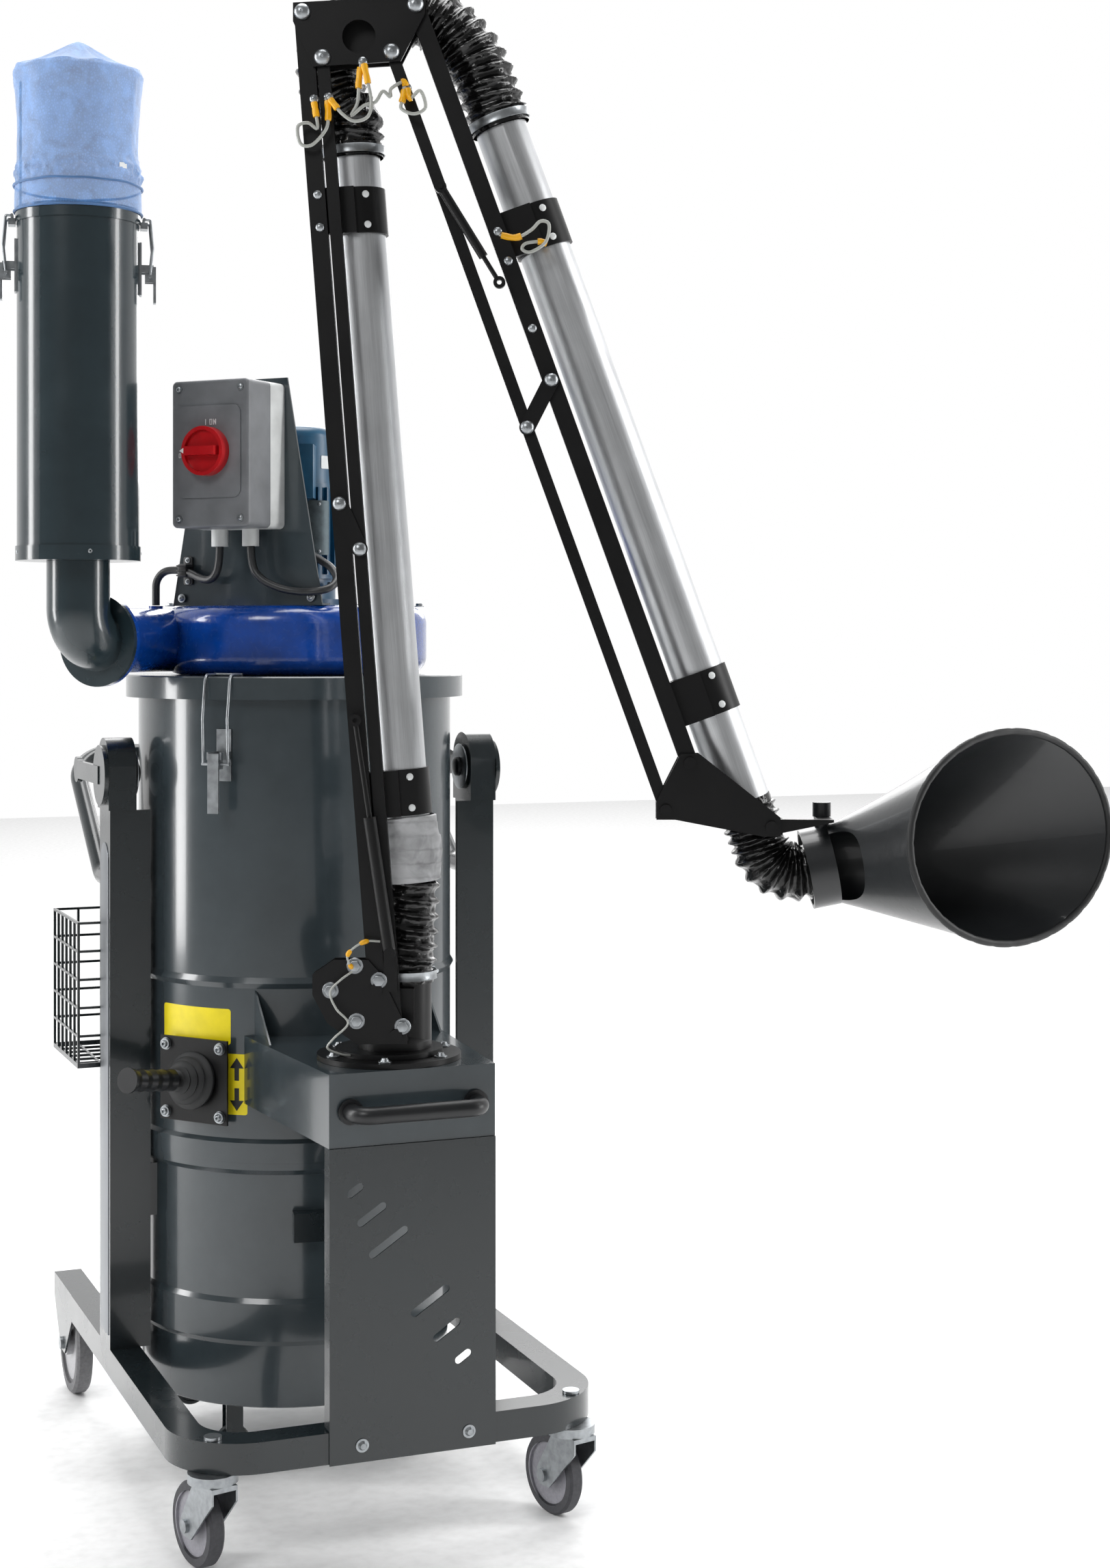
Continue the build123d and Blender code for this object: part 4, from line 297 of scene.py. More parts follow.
def hex_bolt(radius, height):
    """Washer and hexagon head with a chamfered top."""
    bm = lathe([(0, 0), (radius * 1.35, 0), (radius * 1.38, 0.7), (radius * 1.3, 1.6), (0, 1.6)], 24)
    corners = [(radius * math.cos(math.radians(60 * i)), radius * math.sin(math.radians(60 * i)))
               for i in range(6)]
    return merge(bm, slab(corners, 1.6, 1.6 + height, 1.2))


def outward(place, x, spots):
    """Places on a face square to a part's own X axis, facing along it."""
    way = place.to_3x3() @ Vector((1, 0, 0))
    return [facing(place @ (Vector((x, y, z)) * MM), way) for y, z in spots]


def scatter(name, body, bolt, radius, height, places, finish="zinc_plate"):
    """The same small fastener at several places, as one piece on a body."""
    fit(body, name, merge(*[moved(bolt(radius, height), place) for place in places]), finish)


# Materials
def linear(code):
    """An sRGB hex colour as linear red, green, blue and alpha."""
    parts = [int(code[i:i + 2], 16) / 255 for i in (0, 2, 4)]
    return [c / 12.92 if c <= 0.04045 else ((c + 0.055) / 1.055) ** 2.4 for c in parts] + [1.0]


def add(tree, kind, links=None, values=None, **settings):
    """Adds a node, with its settings, its own values and what is linked into it."""
    node = tree.nodes.new(kind)
    for key, value in settings.items():
        setattr(node, key, value)
    for key, value in (values or {}).items():
        node.inputs[key].default_value = value
    for key, socket in (links or {}).items():
        tree.links.new(socket, node.inputs[key])
    return node


def start_material(name, values):
    """A material with one shader; returns it, its tree, the shader and object coordinates."""
    material = bpy.data.materials.new(name)
    material.use_nodes = True
    tree = material.node_tree
    tree.nodes.clear()
    shader = add(tree, "ShaderNodeBsdfPrincipled", values=values)
    add(tree, "ShaderNodeOutputMaterial", links={"Surface": shader.outputs["BSDF"]})
    place = add(tree, "ShaderNodeTexCoord").outputs["Object"]
    return material, tree, shader, place


def per_mm(size):
    """Texture scale, in metres, of a pattern whose cells are so many millimetres wide."""
    return 1.0 / (size * MM)


def shades(tree, factor, dark, light, low=0.3, high=0.7):
    ramp = add(tree, "ShaderNodeValToRGB", links={"Fac": factor})
    ramp.color_ramp.elements[0].position = low
    ramp.color_ramp.elements[0].color = dark
    ramp.color_ramp.elements[1].position = high
    ramp.color_ramp.elements[1].color = light
    return ramp.outputs["Color"]


def toned(colour, gain):
    return [min(c * gain, 1.0) for c in colour[:3]] + [1.0]


def cloud(tree, place, size, detail, roughness=0.5, distortion=0.0):
    """Noise with cells so many millimetres wide."""
    noisy = add(tree, "ShaderNodeTexNoise", links={"Vector": place},
                values={"Scale": per_mm(size), "Detail": detail, "Roughness": roughness,
                        "Distortion": distortion})
    return noisy.outputs["Fac"]


def blended(tree, first, second, share):
    node = add(tree, "ShaderNodeMix", links={"A": first, "B": second}, values={"Factor": share},
               data_type="FLOAT")
    return node.outputs["Result"]


def coloured(tree, shader, factor, colour, dark, light, low=0.3, high=0.7):
    """Base colour from a darker to a lighter tone of one colour."""
    tree.links.new(shades(tree, factor, toned(colour, dark), toned(colour, light), low, high),
                   shader.inputs["Base Color"])


def glossed(tree, shader, factor, low, high):
    """Roughness that goes from low to high with a factor."""
    span = add(tree, "ShaderNodeMapRange", links={"Value": factor},
               values={"To Min": low, "To Max": high})
    tree.links.new(span.outputs["Result"], shader.inputs["Roughness"])


def bumped(tree, shader, height, depth_mm, strength=1.0):
    bump = add(tree, "ShaderNodeBump", links={"Height": height},
               values={"Strength": strength, "Distance": depth_mm * MM})
    tree.links.new(bump.outputs["Normal"], shader.inputs["Normal"])


def powder_coat(name, colour, gloss, peel, depth, coat, shine=0.5):
    """Baked powder coat on sheet steel: even colour, soft orange peel and a clear gloss."""
    material, tree, shader, place = start_material(
        name, {"Roughness": gloss, "Coat Weight": coat, "Coat Roughness": 0.08, "IOR": 1.5,
               "Specular IOR Level": shine})
    dust = cloud(tree, place, 90.0, 5.0, 0.6)
    coloured(tree, shader, dust, colour, 0.9, 1.1)
    glossed(tree, shader, dust, gloss * 0.75, gloss * 1.3)
    bumped(tree, shader, cloud(tree, place, peel, 2.0), depth)
    return material


def hammer_paint(name, colour):
    """Hammered gloss enamel on the cast fan scroll: pebbled skin with dark hollows."""
    material, tree, shader, place = start_material(
        name, {"Coat Weight": 0.6, "Coat Roughness": 0.06, "IOR": 1.5})
    pebble = add(tree, "ShaderNodeTexVoronoi", links={"Vector": place},
                 values={"Scale": per_mm(7.0), "Smoothness": 0.8}, feature="SMOOTH_F1")
    coloured(tree, shader, cloud(tree, place, 60.0, 4.0), colour, 0.55, 1.15)
    glossed(tree, shader, pebble.outputs["Distance"], 0.16, 0.34)
    bumped(tree, shader, pebble.outputs["Distance"], 0.35, 0.55)
    return material


def cast_enamel(name, colour):
    """Satin enamel on a die-cast motor housing: fine grain, softly mottled."""
    material, tree, shader, place = start_material(
        name, {"IOR": 1.5, "Coat Weight": 0.25, "Coat Roughness": 0.25})
    mottle = cloud(tree, place, 45.0, 4.0)
    coloured(tree, shader, mottle, colour, 0.78, 1.2)
    glossed(tree, shader, mottle, 0.3, 0.5)
    bumped(tree, shader, cloud(tree, place, 1.6, 3.0), 0.12, 0.5)
    return material


def zinc_plate(name, colour):
    """Zinc plating: grey metal, softly clouded."""
    material, tree, shader, place = start_material(name, {"Metallic": 1.0})
    bloom = cloud(tree, place, 11.0, 4.0)
    coloured(tree, shader, bloom, colour, 0.78, 1.12)
    glossed(tree, shader, bloom, 0.26, 0.46)
    bumped(tree, shader, bloom, 0.05, 0.3)
    return material


def brushed_aluminium(name, colour, way):
    """Drawn aluminium tube: hair lines along its length, a little uneven in tone."""
    material, tree, shader, place = start_material(name, {"Metallic": 1.0, "Anisotropic": 0.5})
    lay = Vector(way).rotation_difference(Vector((0, 0, 1))).to_euler()
    turned = add(tree, "ShaderNodeMapping", links={"Vector": place}, values={"Rotation": lay})
    drawn = add(tree, "ShaderNodeMapping", links={"Vector": turned.outputs["Vector"]},
                values={"Scale": (1.0, 1.0, 0.012)})
    lines = cloud(tree, drawn.outputs["Vector"], 1.4, 4.0, 0.7)
    tone = blended(tree, lines, cloud(tree, place, 70.0, 3.0), 0.35)
    coloured(tree, shader, tone, colour, 0.78, 1.12, 0.3, 0.75)
    glossed(tree, shader, lines, 0.26, 0.5)
    bumped(tree, shader, lines, 0.04, 0.4)
    return material


def moulded(name, colour, rough, grain, depth, sheen=0.0):
    """Moulded plastic or rubber: spark-eroded grain, slightly uneven gloss."""
    material, tree, shader, place = start_material(
        name, {"Roughness": rough, "IOR": 1.5, "Sheen Weight": sheen})
    haze = cloud(tree, place, 40.0, 4.0)
    coloured(tree, shader, haze, colour, 0.86, 1.12)
    glossed(tree, shader, haze, rough * 0.85, min(rough * 1.2, 1.0))
    bumped(tree, shader, cloud(tree, place, grain, 2.0), depth, 0.6)
    return material


def coated_hose(name, colour):
    """Vinyl-coated fabric hose: shiny black skin, crumpled between its wire turns."""
    material, tree, shader, place = start_material(
        name, {"Coat Weight": 0.35, "Coat Roughness": 0.1, "IOR": 1.45, "Specular IOR Level": 0.4})
    crumple = cloud(tree, place, 24.0, 2.0, 0.5, 0.9)
    coloured(tree, shader, cloud(tree, place, 50.0, 5.0), colour, 1.0, 1.4, 0.45, 0.85)
    glossed(tree, shader, crumple, 0.12, 0.34)
    bumped(tree, shader, crumple, 5.0, 0.9)
    return material


def duct_tape(name, colour):
    """Grey cloth tape, wound and creased by hand, with painted shade in its creases and painted light on
    its crests.
    """
    material, tree, shader, place = start_material(name, {"IOR": 1.5})
    crease = cloud(tree, place, 34.0, 4.0, 0.5, 0.5)
    weave = add(tree, "ShaderNodeTexWave", links={"Vector": place},
                values={"Scale": per_mm(9.0) / 20, "Distortion": 1.0}, bands_direction="DIAGONAL")
    # Painted shade and light: the colour darkens in the creases and lightens on the crests, following the
    # same noise as the bump
    coloured(tree, shader, crease, colour, 0.6, 1.12, 0.33, 0.6)
    glossed(tree, shader, crease, 0.62, 0.36)
    bumped(tree, shader, blended(tree, crease, weave.outputs["Fac"], 0.12), 2.6, 0.8)
    return material


def knitted_net(name, colour, cell):
    """Fine blue nylon net: half clear, with soft threads every few millimetres."""
    material, tree, shader, place = start_material(
        name, {"Roughness": 0.55, "Sheen Weight": 0.4, "Alpha": 0.62})
    flat = add(tree, "ShaderNodeMapping", links={"Vector": place}, values={"Scale": (1.0, 1.0, 0.8)})
    threads = add(tree, "ShaderNodeTexVoronoi", links={"Vector": flat.outputs["Vector"]},
                  values={"Scale": per_mm(cell)}, feature="DISTANCE_TO_EDGE")
    tone = blended(tree, threads.outputs["Distance"], cloud(tree, place, 30.0, 4.0, 0.5, 0.8), 0.6)
    coloured(tree, shader, tone, colour, 0.62, 1.35, 0.2, 0.5)
    bumped(tree, shader, threads.outputs["Distance"], 0.5, 0.6)
    return material


def printed(name, colour, rough):
    """Flat printed, painted or vinyl face with hardly any texture of its own."""
    material, tree, shader, place = start_material(name, {"Roughness": rough, "IOR": 1.5})
    coloured(tree, shader, cloud(tree, place, 25.0, 3.0), colour, 0.93, 1.05)
    return material


def net_cord(name, colour):
    """Drawn hem of the net, in a darker tone of the net's own colour."""
    return moulded(name, toned(colour, 0.55), 0.7, 1.1, 0.25, 0.3)


# Each finish: its maker, its colour as a name from the panel or a hex code, and the maker's own numbers
RECIPES = {
    "drum_powder_coat": (powder_coat, "drum", 0.2, 5.0, 0.06, 0.5),
    "frame_powder_coat": (powder_coat, "steelwork", 0.26, 3.0, 0.05, 0.4),
    "silencer_powder_coat": (powder_coat, "silencer", 0.24, 4.0, 0.06, 0.45),
    "arm_powder_coat": (powder_coat, "arm", 0.4, 1.6, 0.04, 0.0, 0.3),
    "hood_powder_coat": (powder_coat, "hood", 0.34, 2.4, 0.06, 0.25),
    "scroll_hammer_paint": (hammer_paint, "scroll"),
    "motor_enamel": (cast_enamel, "motor"),
    "zinc_plate": (zinc_plate, "a3a7aa"),
    "lower_aluminium": (brushed_aluminium, "dcdee0", arm_way(LOWER_WAY)),
    "outer_aluminium": (brushed_aluminium, "dcdee0", arm_way(OUTER_WAY)),
    "trim_aluminium": (brushed_aluminium, "8d9094", (0, 0, 1)),
    "coated_hose": (coated_hose, "hose"),
    "duct_tape": (duct_tape, "a9aaac"),
    "switch_abs": (moulded, "switch_cover", 0.4, 0.8, 0.04),
    "switch_base_abs": (moulded, "switch_base", 0.45, 0.8, 0.04),
    "red_knob_abs": (moulded, "knob", 0.3, 0.8, 0.03),
    "black_nylon": (moulded, "17181a", 0.36, 0.9, 0.05),
    "black_rubber": (moulded, "1b1c1d", 0.55, 1.2, 0.08),
    "outlet_net": (knitted_net, "net", 4.0),
    "net_hem": (net_cord, "net"),
    "cable_pvc": (moulded, "202224", 0.4, 1.0, 0.03),
    "yellow_vinyl": (printed, "e9d500", 0.4),
    "earth_wire": (moulded, "a9aba6", 0.3, 1.0, 0.03),
    "yellow_crimp": (moulded, "e8a90c", 0.35, 1.0, 0.03),
    "white_vinyl": (printed, "dfe2e2", 0.4),
    "black_print": (printed, "16181a", 0.45),
    "dark_plate": (zinc_plate, "3f4649"),
    "filter_felt": (moulded, "d5d3c8", 0.95, 1.5, 0.3),
    "floor_paper": (printed, "fbfbfb", 0.9),
}
FINISHES = {}


def colour_of(code):
    shown = getattr(bpy.context.scene.collector_colours, code, None)
    return linear(code) if shown is None else list(shown) + [1.0]


def finish_of(name):
    """Makes each finish once, from the colours that the panel shows."""
    if name not in FINISHES:
        maker, colour, *numbers = RECIPES[name]
        FINISHES[name] = maker(name, colour_of(colour), *numbers)
    return FINISHES[name]


def wear(node, material):
    """Gives a CAD node a material in place of its plain one, and smooths its round faces."""
    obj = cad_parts[node]
    for slot in obj.material_slots:
        slot.material = material
    for face in obj.data.polygons:
        face.use_smooth = True
    obj.data.set_sharp_from_angle(angle=math.radians(30))


def dress(finish, *nodes):
    for node in nodes:
        wear(node, finish_of(finish))


def paint(name, description, code):
    return FloatVectorProperty(name=name, description=description, subtype="COLOR",
                               default=linear(code)[:3])


class CollectorColours(bpy.types.PropertyGroup):
    """Paints and plastics of the machine"""
    drum: paint("Drum", "Gloss powder coat of the drum, lid and bin", "333b3f")
    steelwork: paint("Steelwork", "Powder coat of the base and uprights", "141c1f")
    silencer: paint("Silencer", "Powder coat of the silencer", "1f2c31")
    scroll: paint("Scroll", "Hammered enamel of the fan scroll", "003f96")
    motor: paint("Motor", "Enamel of the motor housing", "0d4c6b")
    arm: paint("Arm", "Powder coat of the arm's bars and plates", "060607")
    hood: paint("Hood", "Powder coat of the hood", "1c1e20")
    hose: paint("Hose", "Coated fabric of the hoses", "060606")
    net: paint("Net", "Nylon net over the outlet", "5f92d0")
    switch_cover: paint("Switch cover", "Moulded cover of the switch", "707275")
    switch_base: paint("Switch base", "Moulded base of the switch", "c9cbca")
    knob: paint("Knob", "Red knob of the switch", "b40d16")


class CollectorSizes(bpy.types.PropertyGroup):
    """Details that lie on the CAD frame"""
    hose_crumple: FloatProperty(name="Hose crumple", description="How far the hose skin wanders",
                                default=0.0034, min=0.0, max=0.006, unit="LENGTH")
    rib_depth: FloatProperty(name="Rib depth", description="Height of the hose's wire turns",
                             default=0.008, min=0.0, max=0.012, unit="LENGTH")
    tape_crumple: FloatProperty(name="Tape crumple", description="How far the tape's creases stand out",
                                default=0.0016, min=0.0, max=0.005, unit="LENGTH")
    net_crumple: FloatProperty(name="Net crumple", description="How far the gathered net folds",
                               default=0.004, min=0.0, max=0.01, unit="LENGTH")


# Pieces of the machine
def ribbed_hose(points, turns, crest, valley, crumple, seed, cuffs, span):
    """Skin of a wire hose along a line in metres, from one share of its length to another."""
    lengths = [0.0]
    for a, b in zip(points, points[1:]):
        lengths.append(lengths[-1] + (b - a).length)
    total = lengths[-1]
    steps = max(24, int((span[1] - span[0]) * turns * 12))
    segments = 56
    bm = bmesh.new()
    rings = []
    side = None
    at = 0
    for i in range(steps + 1):
        share = span[0] + (span[1] - span[0]) * i / steps
        run = share * total
        while at < len(lengths) - 2 and lengths[at + 1] < run:
            at += 1
        step = lengths[at + 1] - lengths[at]
        t = (run - lengths[at]) / step
        centre = points[at].lerp(points[at + 1], t)
        before = points[max(at - 1, 0)]
        after = points[min(at + 2, len(points) - 1)]
        way_a = (points[at + 1] - before).normalized()
        way_b = (after - points[at]).normalized()
        way = way_a.lerp(way_b, t).normalized()
        if side is None:
            side = way.cross(ARM.to_3x3() @ Vector((0, 1, 0))).normalized()
        side = (side - way * side.dot(way)).normalized()
        up = way.cross(side)
        flat = run < cuffs[0] or run > total - cuffs[1]
        ring = []
        for j in range(segments):
            a = 2 * math.pi * j / segments
            phase = 2 * math.pi * share * turns + a
            swell = (0.5 + 0.5 * math.cos(phase)) ** 1.7
            direction = side * math.cos(a) + up * math.sin(a)
            fold = noise.noise(Vector((run * 60 + seed, math.cos(a) * 2.2, math.sin(a) * 2.2)))
            fine = noise.noise(Vector((run * 190 + seed, math.cos(a) * 7, math.sin(a) * 7)))
            radius = valley + (crest - valley) * swell
            radius += crumple * (1 - 0.7 * swell) * (fold + 0.5 * fine)
            if flat:
                radius = valley + (crest - valley) * 0.35 + crumple * 0.25 * fine
            ring.append(bm.verts.new(centre + direction * radius))
        rings.append(ring)
    skin(bm, rings)
    return bm


def bezier_line(a, b, c, d, count=40):
    points = []
    for i in range(count + 1):
        t = i / count
        s = 1 - t
        points.append(tuple(s ** 3 * a[n] + 3 * s * s * t * b[n] + 3 * s * t * t * c[n] + t ** 3 * d[n]
                            for n in range(2)))
    return points


def smooth_line(marks, steps=6):
    """Points of a smooth curve through marks of two or three numbers, ending just before the last."""
    points = []
    for a, b, c, d in zip([marks[0]] + marks, marks, marks[1:], marks[2:] + [marks[-1]]):
        for i in range(steps):
            t = i / steps
            points.append([0.5 * (2 * q + (r - p) * t + (2 * p - 5 * q + 4 * r - s) * t * t
                                  + (3 * q - p - 3 * r + s) * t ** 3) for p, q, r, s in zip(a, b, c, d)])
    return points


def rounded_line(corners, radius, steps=14):
    """Straight runs joined by arcs, as points in the arm's plane."""
    points = [corners[0]]
    for before, corner, after in zip(corners, corners[1:], corners[2:]):
        a = unit((before[0] - corner[0], before[1] - corner[1]))
        b = unit((after[0] - corner[0], after[1] - corner[1]))
        half = math.acos(max(-1.0, min(1.0, a[0] * b[0] + a[1] * b[1]))) / 2
        cut = radius / math.tan(half)
        centre_way = unit((a[0] + b[0], a[1] + b[1]))
        centre = (corner[0] + centre_way[0] * radius / math.sin(half),
                  corner[1] + centre_way[1] * radius / math.sin(half))
        start = (corner[0] + a[0] * cut, corner[1] + a[1] * cut)
        end = (corner[0] + b[0] * cut, corner[1] + b[1] * cut)
        first = math.atan2(start[1] - centre[1], start[0] - centre[0])
        last = math.atan2(end[1] - centre[1], end[0] - centre[0])
        swing = (last - first + math.pi) % (2 * math.pi) - math.pi
        for i in range(steps + 1):
            angle = first + swing * i / steps
            points.append((centre[0] + radius * math.cos(angle), centre[1] + radius * math.sin(angle)))
    points.append(corners[-1])
    return points


def finer(points, step=0.008):
    """The same line with a point every few millimetres on its straight runs."""
    fine = [points[0]]
    for a, b in zip(points, points[1:]):
        count = max(1, int((b - a).length / step))
        for i in range(1, count + 1):
            fine.append(a.lerp(b, i / count))
    return fine


def clamp_band(name, body, centre, way, turn):
    """Worm-drive hose clamp: slotted band, rolled edges and its screw housing."""
    radius, half = 47.0, 6.5
    band = lathe([(radius, -half), (radius + 1.6, -half), (radius + 0.9, 1.4 - half),
                  (radius + 0.9, half - 1.4), (radius + 1.6, half), (radius, half)], 64)
    box = moved(slab(round_rect(13, half * 1.8, 2), 0, 8, 1.5),
                spin(turn) @ move(radius, 0, 0) @ spin(90, "Y"))
    screw = moved(lathe([(0, -11), (4.2, -11), (4.4, -7), (3.1, -6.5), (3.1, 12), (0, 12)], 20),
                  spin(turn) @ move(radius + 6, 0, 0) @ spin(90, "X"))
    return fit(body, name, merge(band, box, screw), "zinc_plate", facing(centre, way))


def wound_tape(name, body, start, end, radius, seed, swell):
    """Cloth tape wound by hand round a pipe's end: overlapping turns, creased and bulging."""
    way = (end - start).normalized()
    long = (end - start).length
    side = way.orthogonal().normalized()
    up = way.cross(side)
    crease = bpy.context.scene.collector_sizes.tape_crumple
    bm = bmesh.new()
    rings = []
    rows, segments = 60, 80
    for i in range(rows + 1):
        t = i / rows
        ring = []
        for j in range(segments):
            a = 2 * math.pi * j / segments
            turns = (t * long / 0.021 + a / (2 * math.pi)) % 1.0
            wander = noise.noise(Vector((math.cos(a) * 1.5 + seed, math.sin(a) * 1.5, t * long * 24)))
            folds = noise.noise(Vector((math.cos(a) * 4 + seed, math.sin(a) * 4, t * long * 75)))
            bulge = swell * math.sin(math.pi * min(t * 1.15, 1.0)) * (0.75 + 0.5 * wander)
            r = radius + 0.0012 * turns + crease * (wander + folds * 0.9) + bulge
            if i in (0, rows):
                r = radius - 0.0016
            out = side * math.cos(a) + up * math.sin(a)
            ring.append(bm.verts.new(start + way * long * t + out * r))
        rings.append(ring)
    skin(bm, rings)
    return fit(body, name, bm, "duct_tape")


def curved_patch(name, finish, radius, angle, height, outline, lift=0.35, axis=None):
    """A thin label that lies on a cylinder: outline is (round, up) in millimetres from its middle."""
    xs = [p[0] for p in outline]
    columns = 24
    bm = bmesh.new()
    base = [bm.verts.new((x, y, 0)) for x, y in outline]
    bm.faces.new(base)
    for i in range(1, columns):
        cut = min(xs) + (max(xs) - min(xs)) * i / columns
        bmesh.ops.bisect_plane(bm, geom=bm.verts[:] + bm.edges[:] + bm.faces[:],
                               plane_co=(cut, 0, 0), plane_no=(1, 0, 0))
    lower = bmesh.ops.duplicate(bm, geom=bm.verts[:] + bm.edges[:] + bm.faces[:])
    upper = [v for v in lower["geom"] if isinstance(v, bmesh.types.BMVert)]
    for v in bm.verts:
        out = radius + (lift if v in upper else lift * 0.1)
        a = math.radians(angle) + v.co.x / radius
        v.co = Vector((out * math.cos(a), out * math.sin(a), height + v.co.y)) * MM
    bmesh.ops.bridge_loops(bm, edges=[e for e in bm.edges if len(e.link_faces) == 1])
    return fit("machine", name, bm, finish, axis)


def outline_letter(letter, size):
    """Strokes of the few letters that the switch carries, as bars (x, y, width, height, turn)."""
    w, h, t = size * 0.56, size, size * 0.14
    bars = {
        "I": [(0, 0, t, h, 0)],
        "O": [(0, h / 2 - t / 2, w, t, 0), (0, -h / 2 + t / 2, w, t, 0),
              (-w / 2 + t / 2, 0, t, h, 0), (w / 2 - t / 2, 0, t, h, 0)],
        "N": [(-w / 2 + t / 2, 0, t, h, 0), (w / 2 - t / 2, 0, t, h, 0), (0, 0, t, h * 1.08, 30)],
        "F": [(-w / 2 + t / 2, 0, t, h, 0), (0, h / 2 - t / 2, w, t, 0),
              (-w * 0.06, 0.02 * h, w * 0.8, t, 0)],
    }
    return bars[letter]


def word(text, size, gap, high):
    """Raised printing made of short bars, standing on the XY plane."""
    parts = []
    start = -(len(text) - 1) * gap / 2
    for n, letter in enumerate(text):
        for x, y, w, h, turn in outline_letter(letter, size):
            bar = slab(round_rect(w, h, min(w, h) * 0.25, 3), 0, high)
            moved(bar, move(start + n * gap + x, y, 0) @ spin(turn))
            parts.append(bar)
    return merge(*parts)


# Operators
class COLLECTOR_OT_finishes(bpy.types.Operator):
    """Give the listed CAD parts their paint, plating, plastic or rubber"""
    bl_idname = "collector.finishes"
    bl_label = "Finishes"

    def execute(self, context):
        dress("frame_powder_coat", "base_frame", "uprights", "push_handle", "basket", "bin_fittings",
              "lift_levers", "front_cover")
        dress("drum_powder_coat", "chamber", "lid", "bin", "inlet_box", "switch_bracket")
        dress("black_nylon", "front_handle", "shaker_handle")
        dress("scroll_hammer_paint", "fan_scroll")
        dress("motor_enamel", "motor")
        dress("silencer_powder_coat", "silencer")
        dress("switch_base_abs", "switch_base")
        dress("switch_abs", "switch_cover")
        dress("red_knob_abs", "switch_knob")
        dress("zinc_plate", "zinc_fittings", "lid_latch_lever", "lid_latch_loop",
              "silencer_latch_lever_1", "silencer_latch_lever_2", "silencer_latch_loop_1",
              "silencer_latch_loop_2", "caster_fork_left", "caster_fork_right", "fan_rotor")
        dress("arm_powder_coat", "arm_flange", "arm_turret", "lower_beam", "lower_tie_bar",
              "lower_mid_link", "elbow_plate", "outer_beam", "outer_tie_bar", "outer_mid_link",
              "end_link", "hood_yoke", "lower_strut_tube", "outer_strut_tube", "shaker_plate",
              "lower_strut_rod", "outer_strut_rod")
        dress("lower_aluminium", "lower_pipe")
        dress("outer_aluminium", "outer_pipe")
        dress("hood_powder_coat", "hood")
        dress("black_rubber", "shaker_boot")
        return {"FINISHED"}


class COLLECTOR_OT_wheels(bpy.types.Operator):
    """Give the wheels their rubber tread and nylon hubs"""
    bl_idname = "collector.wheels"
    bl_label = "Wheels"

    def two_tone(self, name, node, tyre, hub, share):
        low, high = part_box(node)
        radius = (high.z - low.z) / 2 * share
        material, tree, shader, place = start_material(name, {"IOR": 1.5})
        out = add(tree, "ShaderNodeVectorMath", links={0: place}, values={1: (low + high) / 2},
                  operation="SUBTRACT")
        across = add(tree, "ShaderNodeVectorMath", links={0: out.outputs["Vector"]},
                     values={1: (0.0, 1.0, 1.0)}, operation="MULTIPLY")
        far = add(tree, "ShaderNodeVectorMath", links={0: across.outputs["Vector"]}, operation="LENGTH")
        edge = add(tree, "ShaderNodeMapRange", links={"Value": far.outputs["Value"]},
                   values={"From Min": radius, "From Max": radius + 0.0008}).outputs["Result"]
        grit = cloud(tree, place, 5.0, 5.0)
        inner = shades(tree, grit, toned(hub, 0.88), toned(hub, 1.1))
        outer = shades(tree, grit, toned(tyre, 0.82), toned(tyre, 1.15))
        both = add(tree, "ShaderNodeMix", links={"Factor": edge, "A": inner, "B": outer},
                   data_type="RGBA")
        tree.links.new(both.outputs["Result"], shader.inputs["Base Color"])
        glossed(tree, shader, edge, 0.42, 0.66)
        bumped(tree, shader, grit, 0.1, 0.5)
        wear(node, material)

    def execute(self, context):
        for side in ("left", "right"):
            self.two_tone("front_tyre_and_hub_" + side, "caster_wheel_" + side,
                          linear("3f3f43"), linear("8d8c93"), 0.74)
            self.two_tone("rear_tyre_and_hub_" + side, "rear_wheel_" + side,
                          linear("6b6b6d"), linear("a3a3a6"), 0.72)
        return {"FINISHED"}


class COLLECTOR_OT_posts(bpy.types.Operator):
    """Fit the uprights' trim strips, cap plates and hubs"""
    bl_idname = "collector.posts"
    bl_label = "Posts"

    def execute(self, context):
        trim = [(-31, -405), (31, -405)]
        for i in range(17):
            a = math.pi * i / 16
            trim.append((31 * math.cos(a) * 0.98, 372 + 31 * math.sin(a)))
        for side, name in ((-1, "left"), (1, "right")):
            strip = slab([(-side * up, across) for across, up in trim], 0, 1.6, 0.8)
            fit("machine", "trim_strip_" + name, strip, "trim_aluminium",
                move(side * 334.9, -33.5, 624) @ spin(90 * side, "Y"))
            plate = lathe([(17, 0), (38, 0), (39.5, 0.8), (39.5, 2.2), (38, 3.0), (17, 3.0)], 56)
            hub = lathe([(0, 0), (16, 0), (16.5, 1.0), (16.5, 9.0), (13, 11.0), (6, 11.6), (0, 11.6)], 40)
            inner = move(side * 289.0, -33.5, 1140) @ spin(-90 * side, "Y")
            fit("machine", "cap_plate_" + name, plate, "zinc_plate", inner)
            fit("machine", "cap_hub_" + name, hub, "black_nylon", inner)
        return {"FINISHED"}


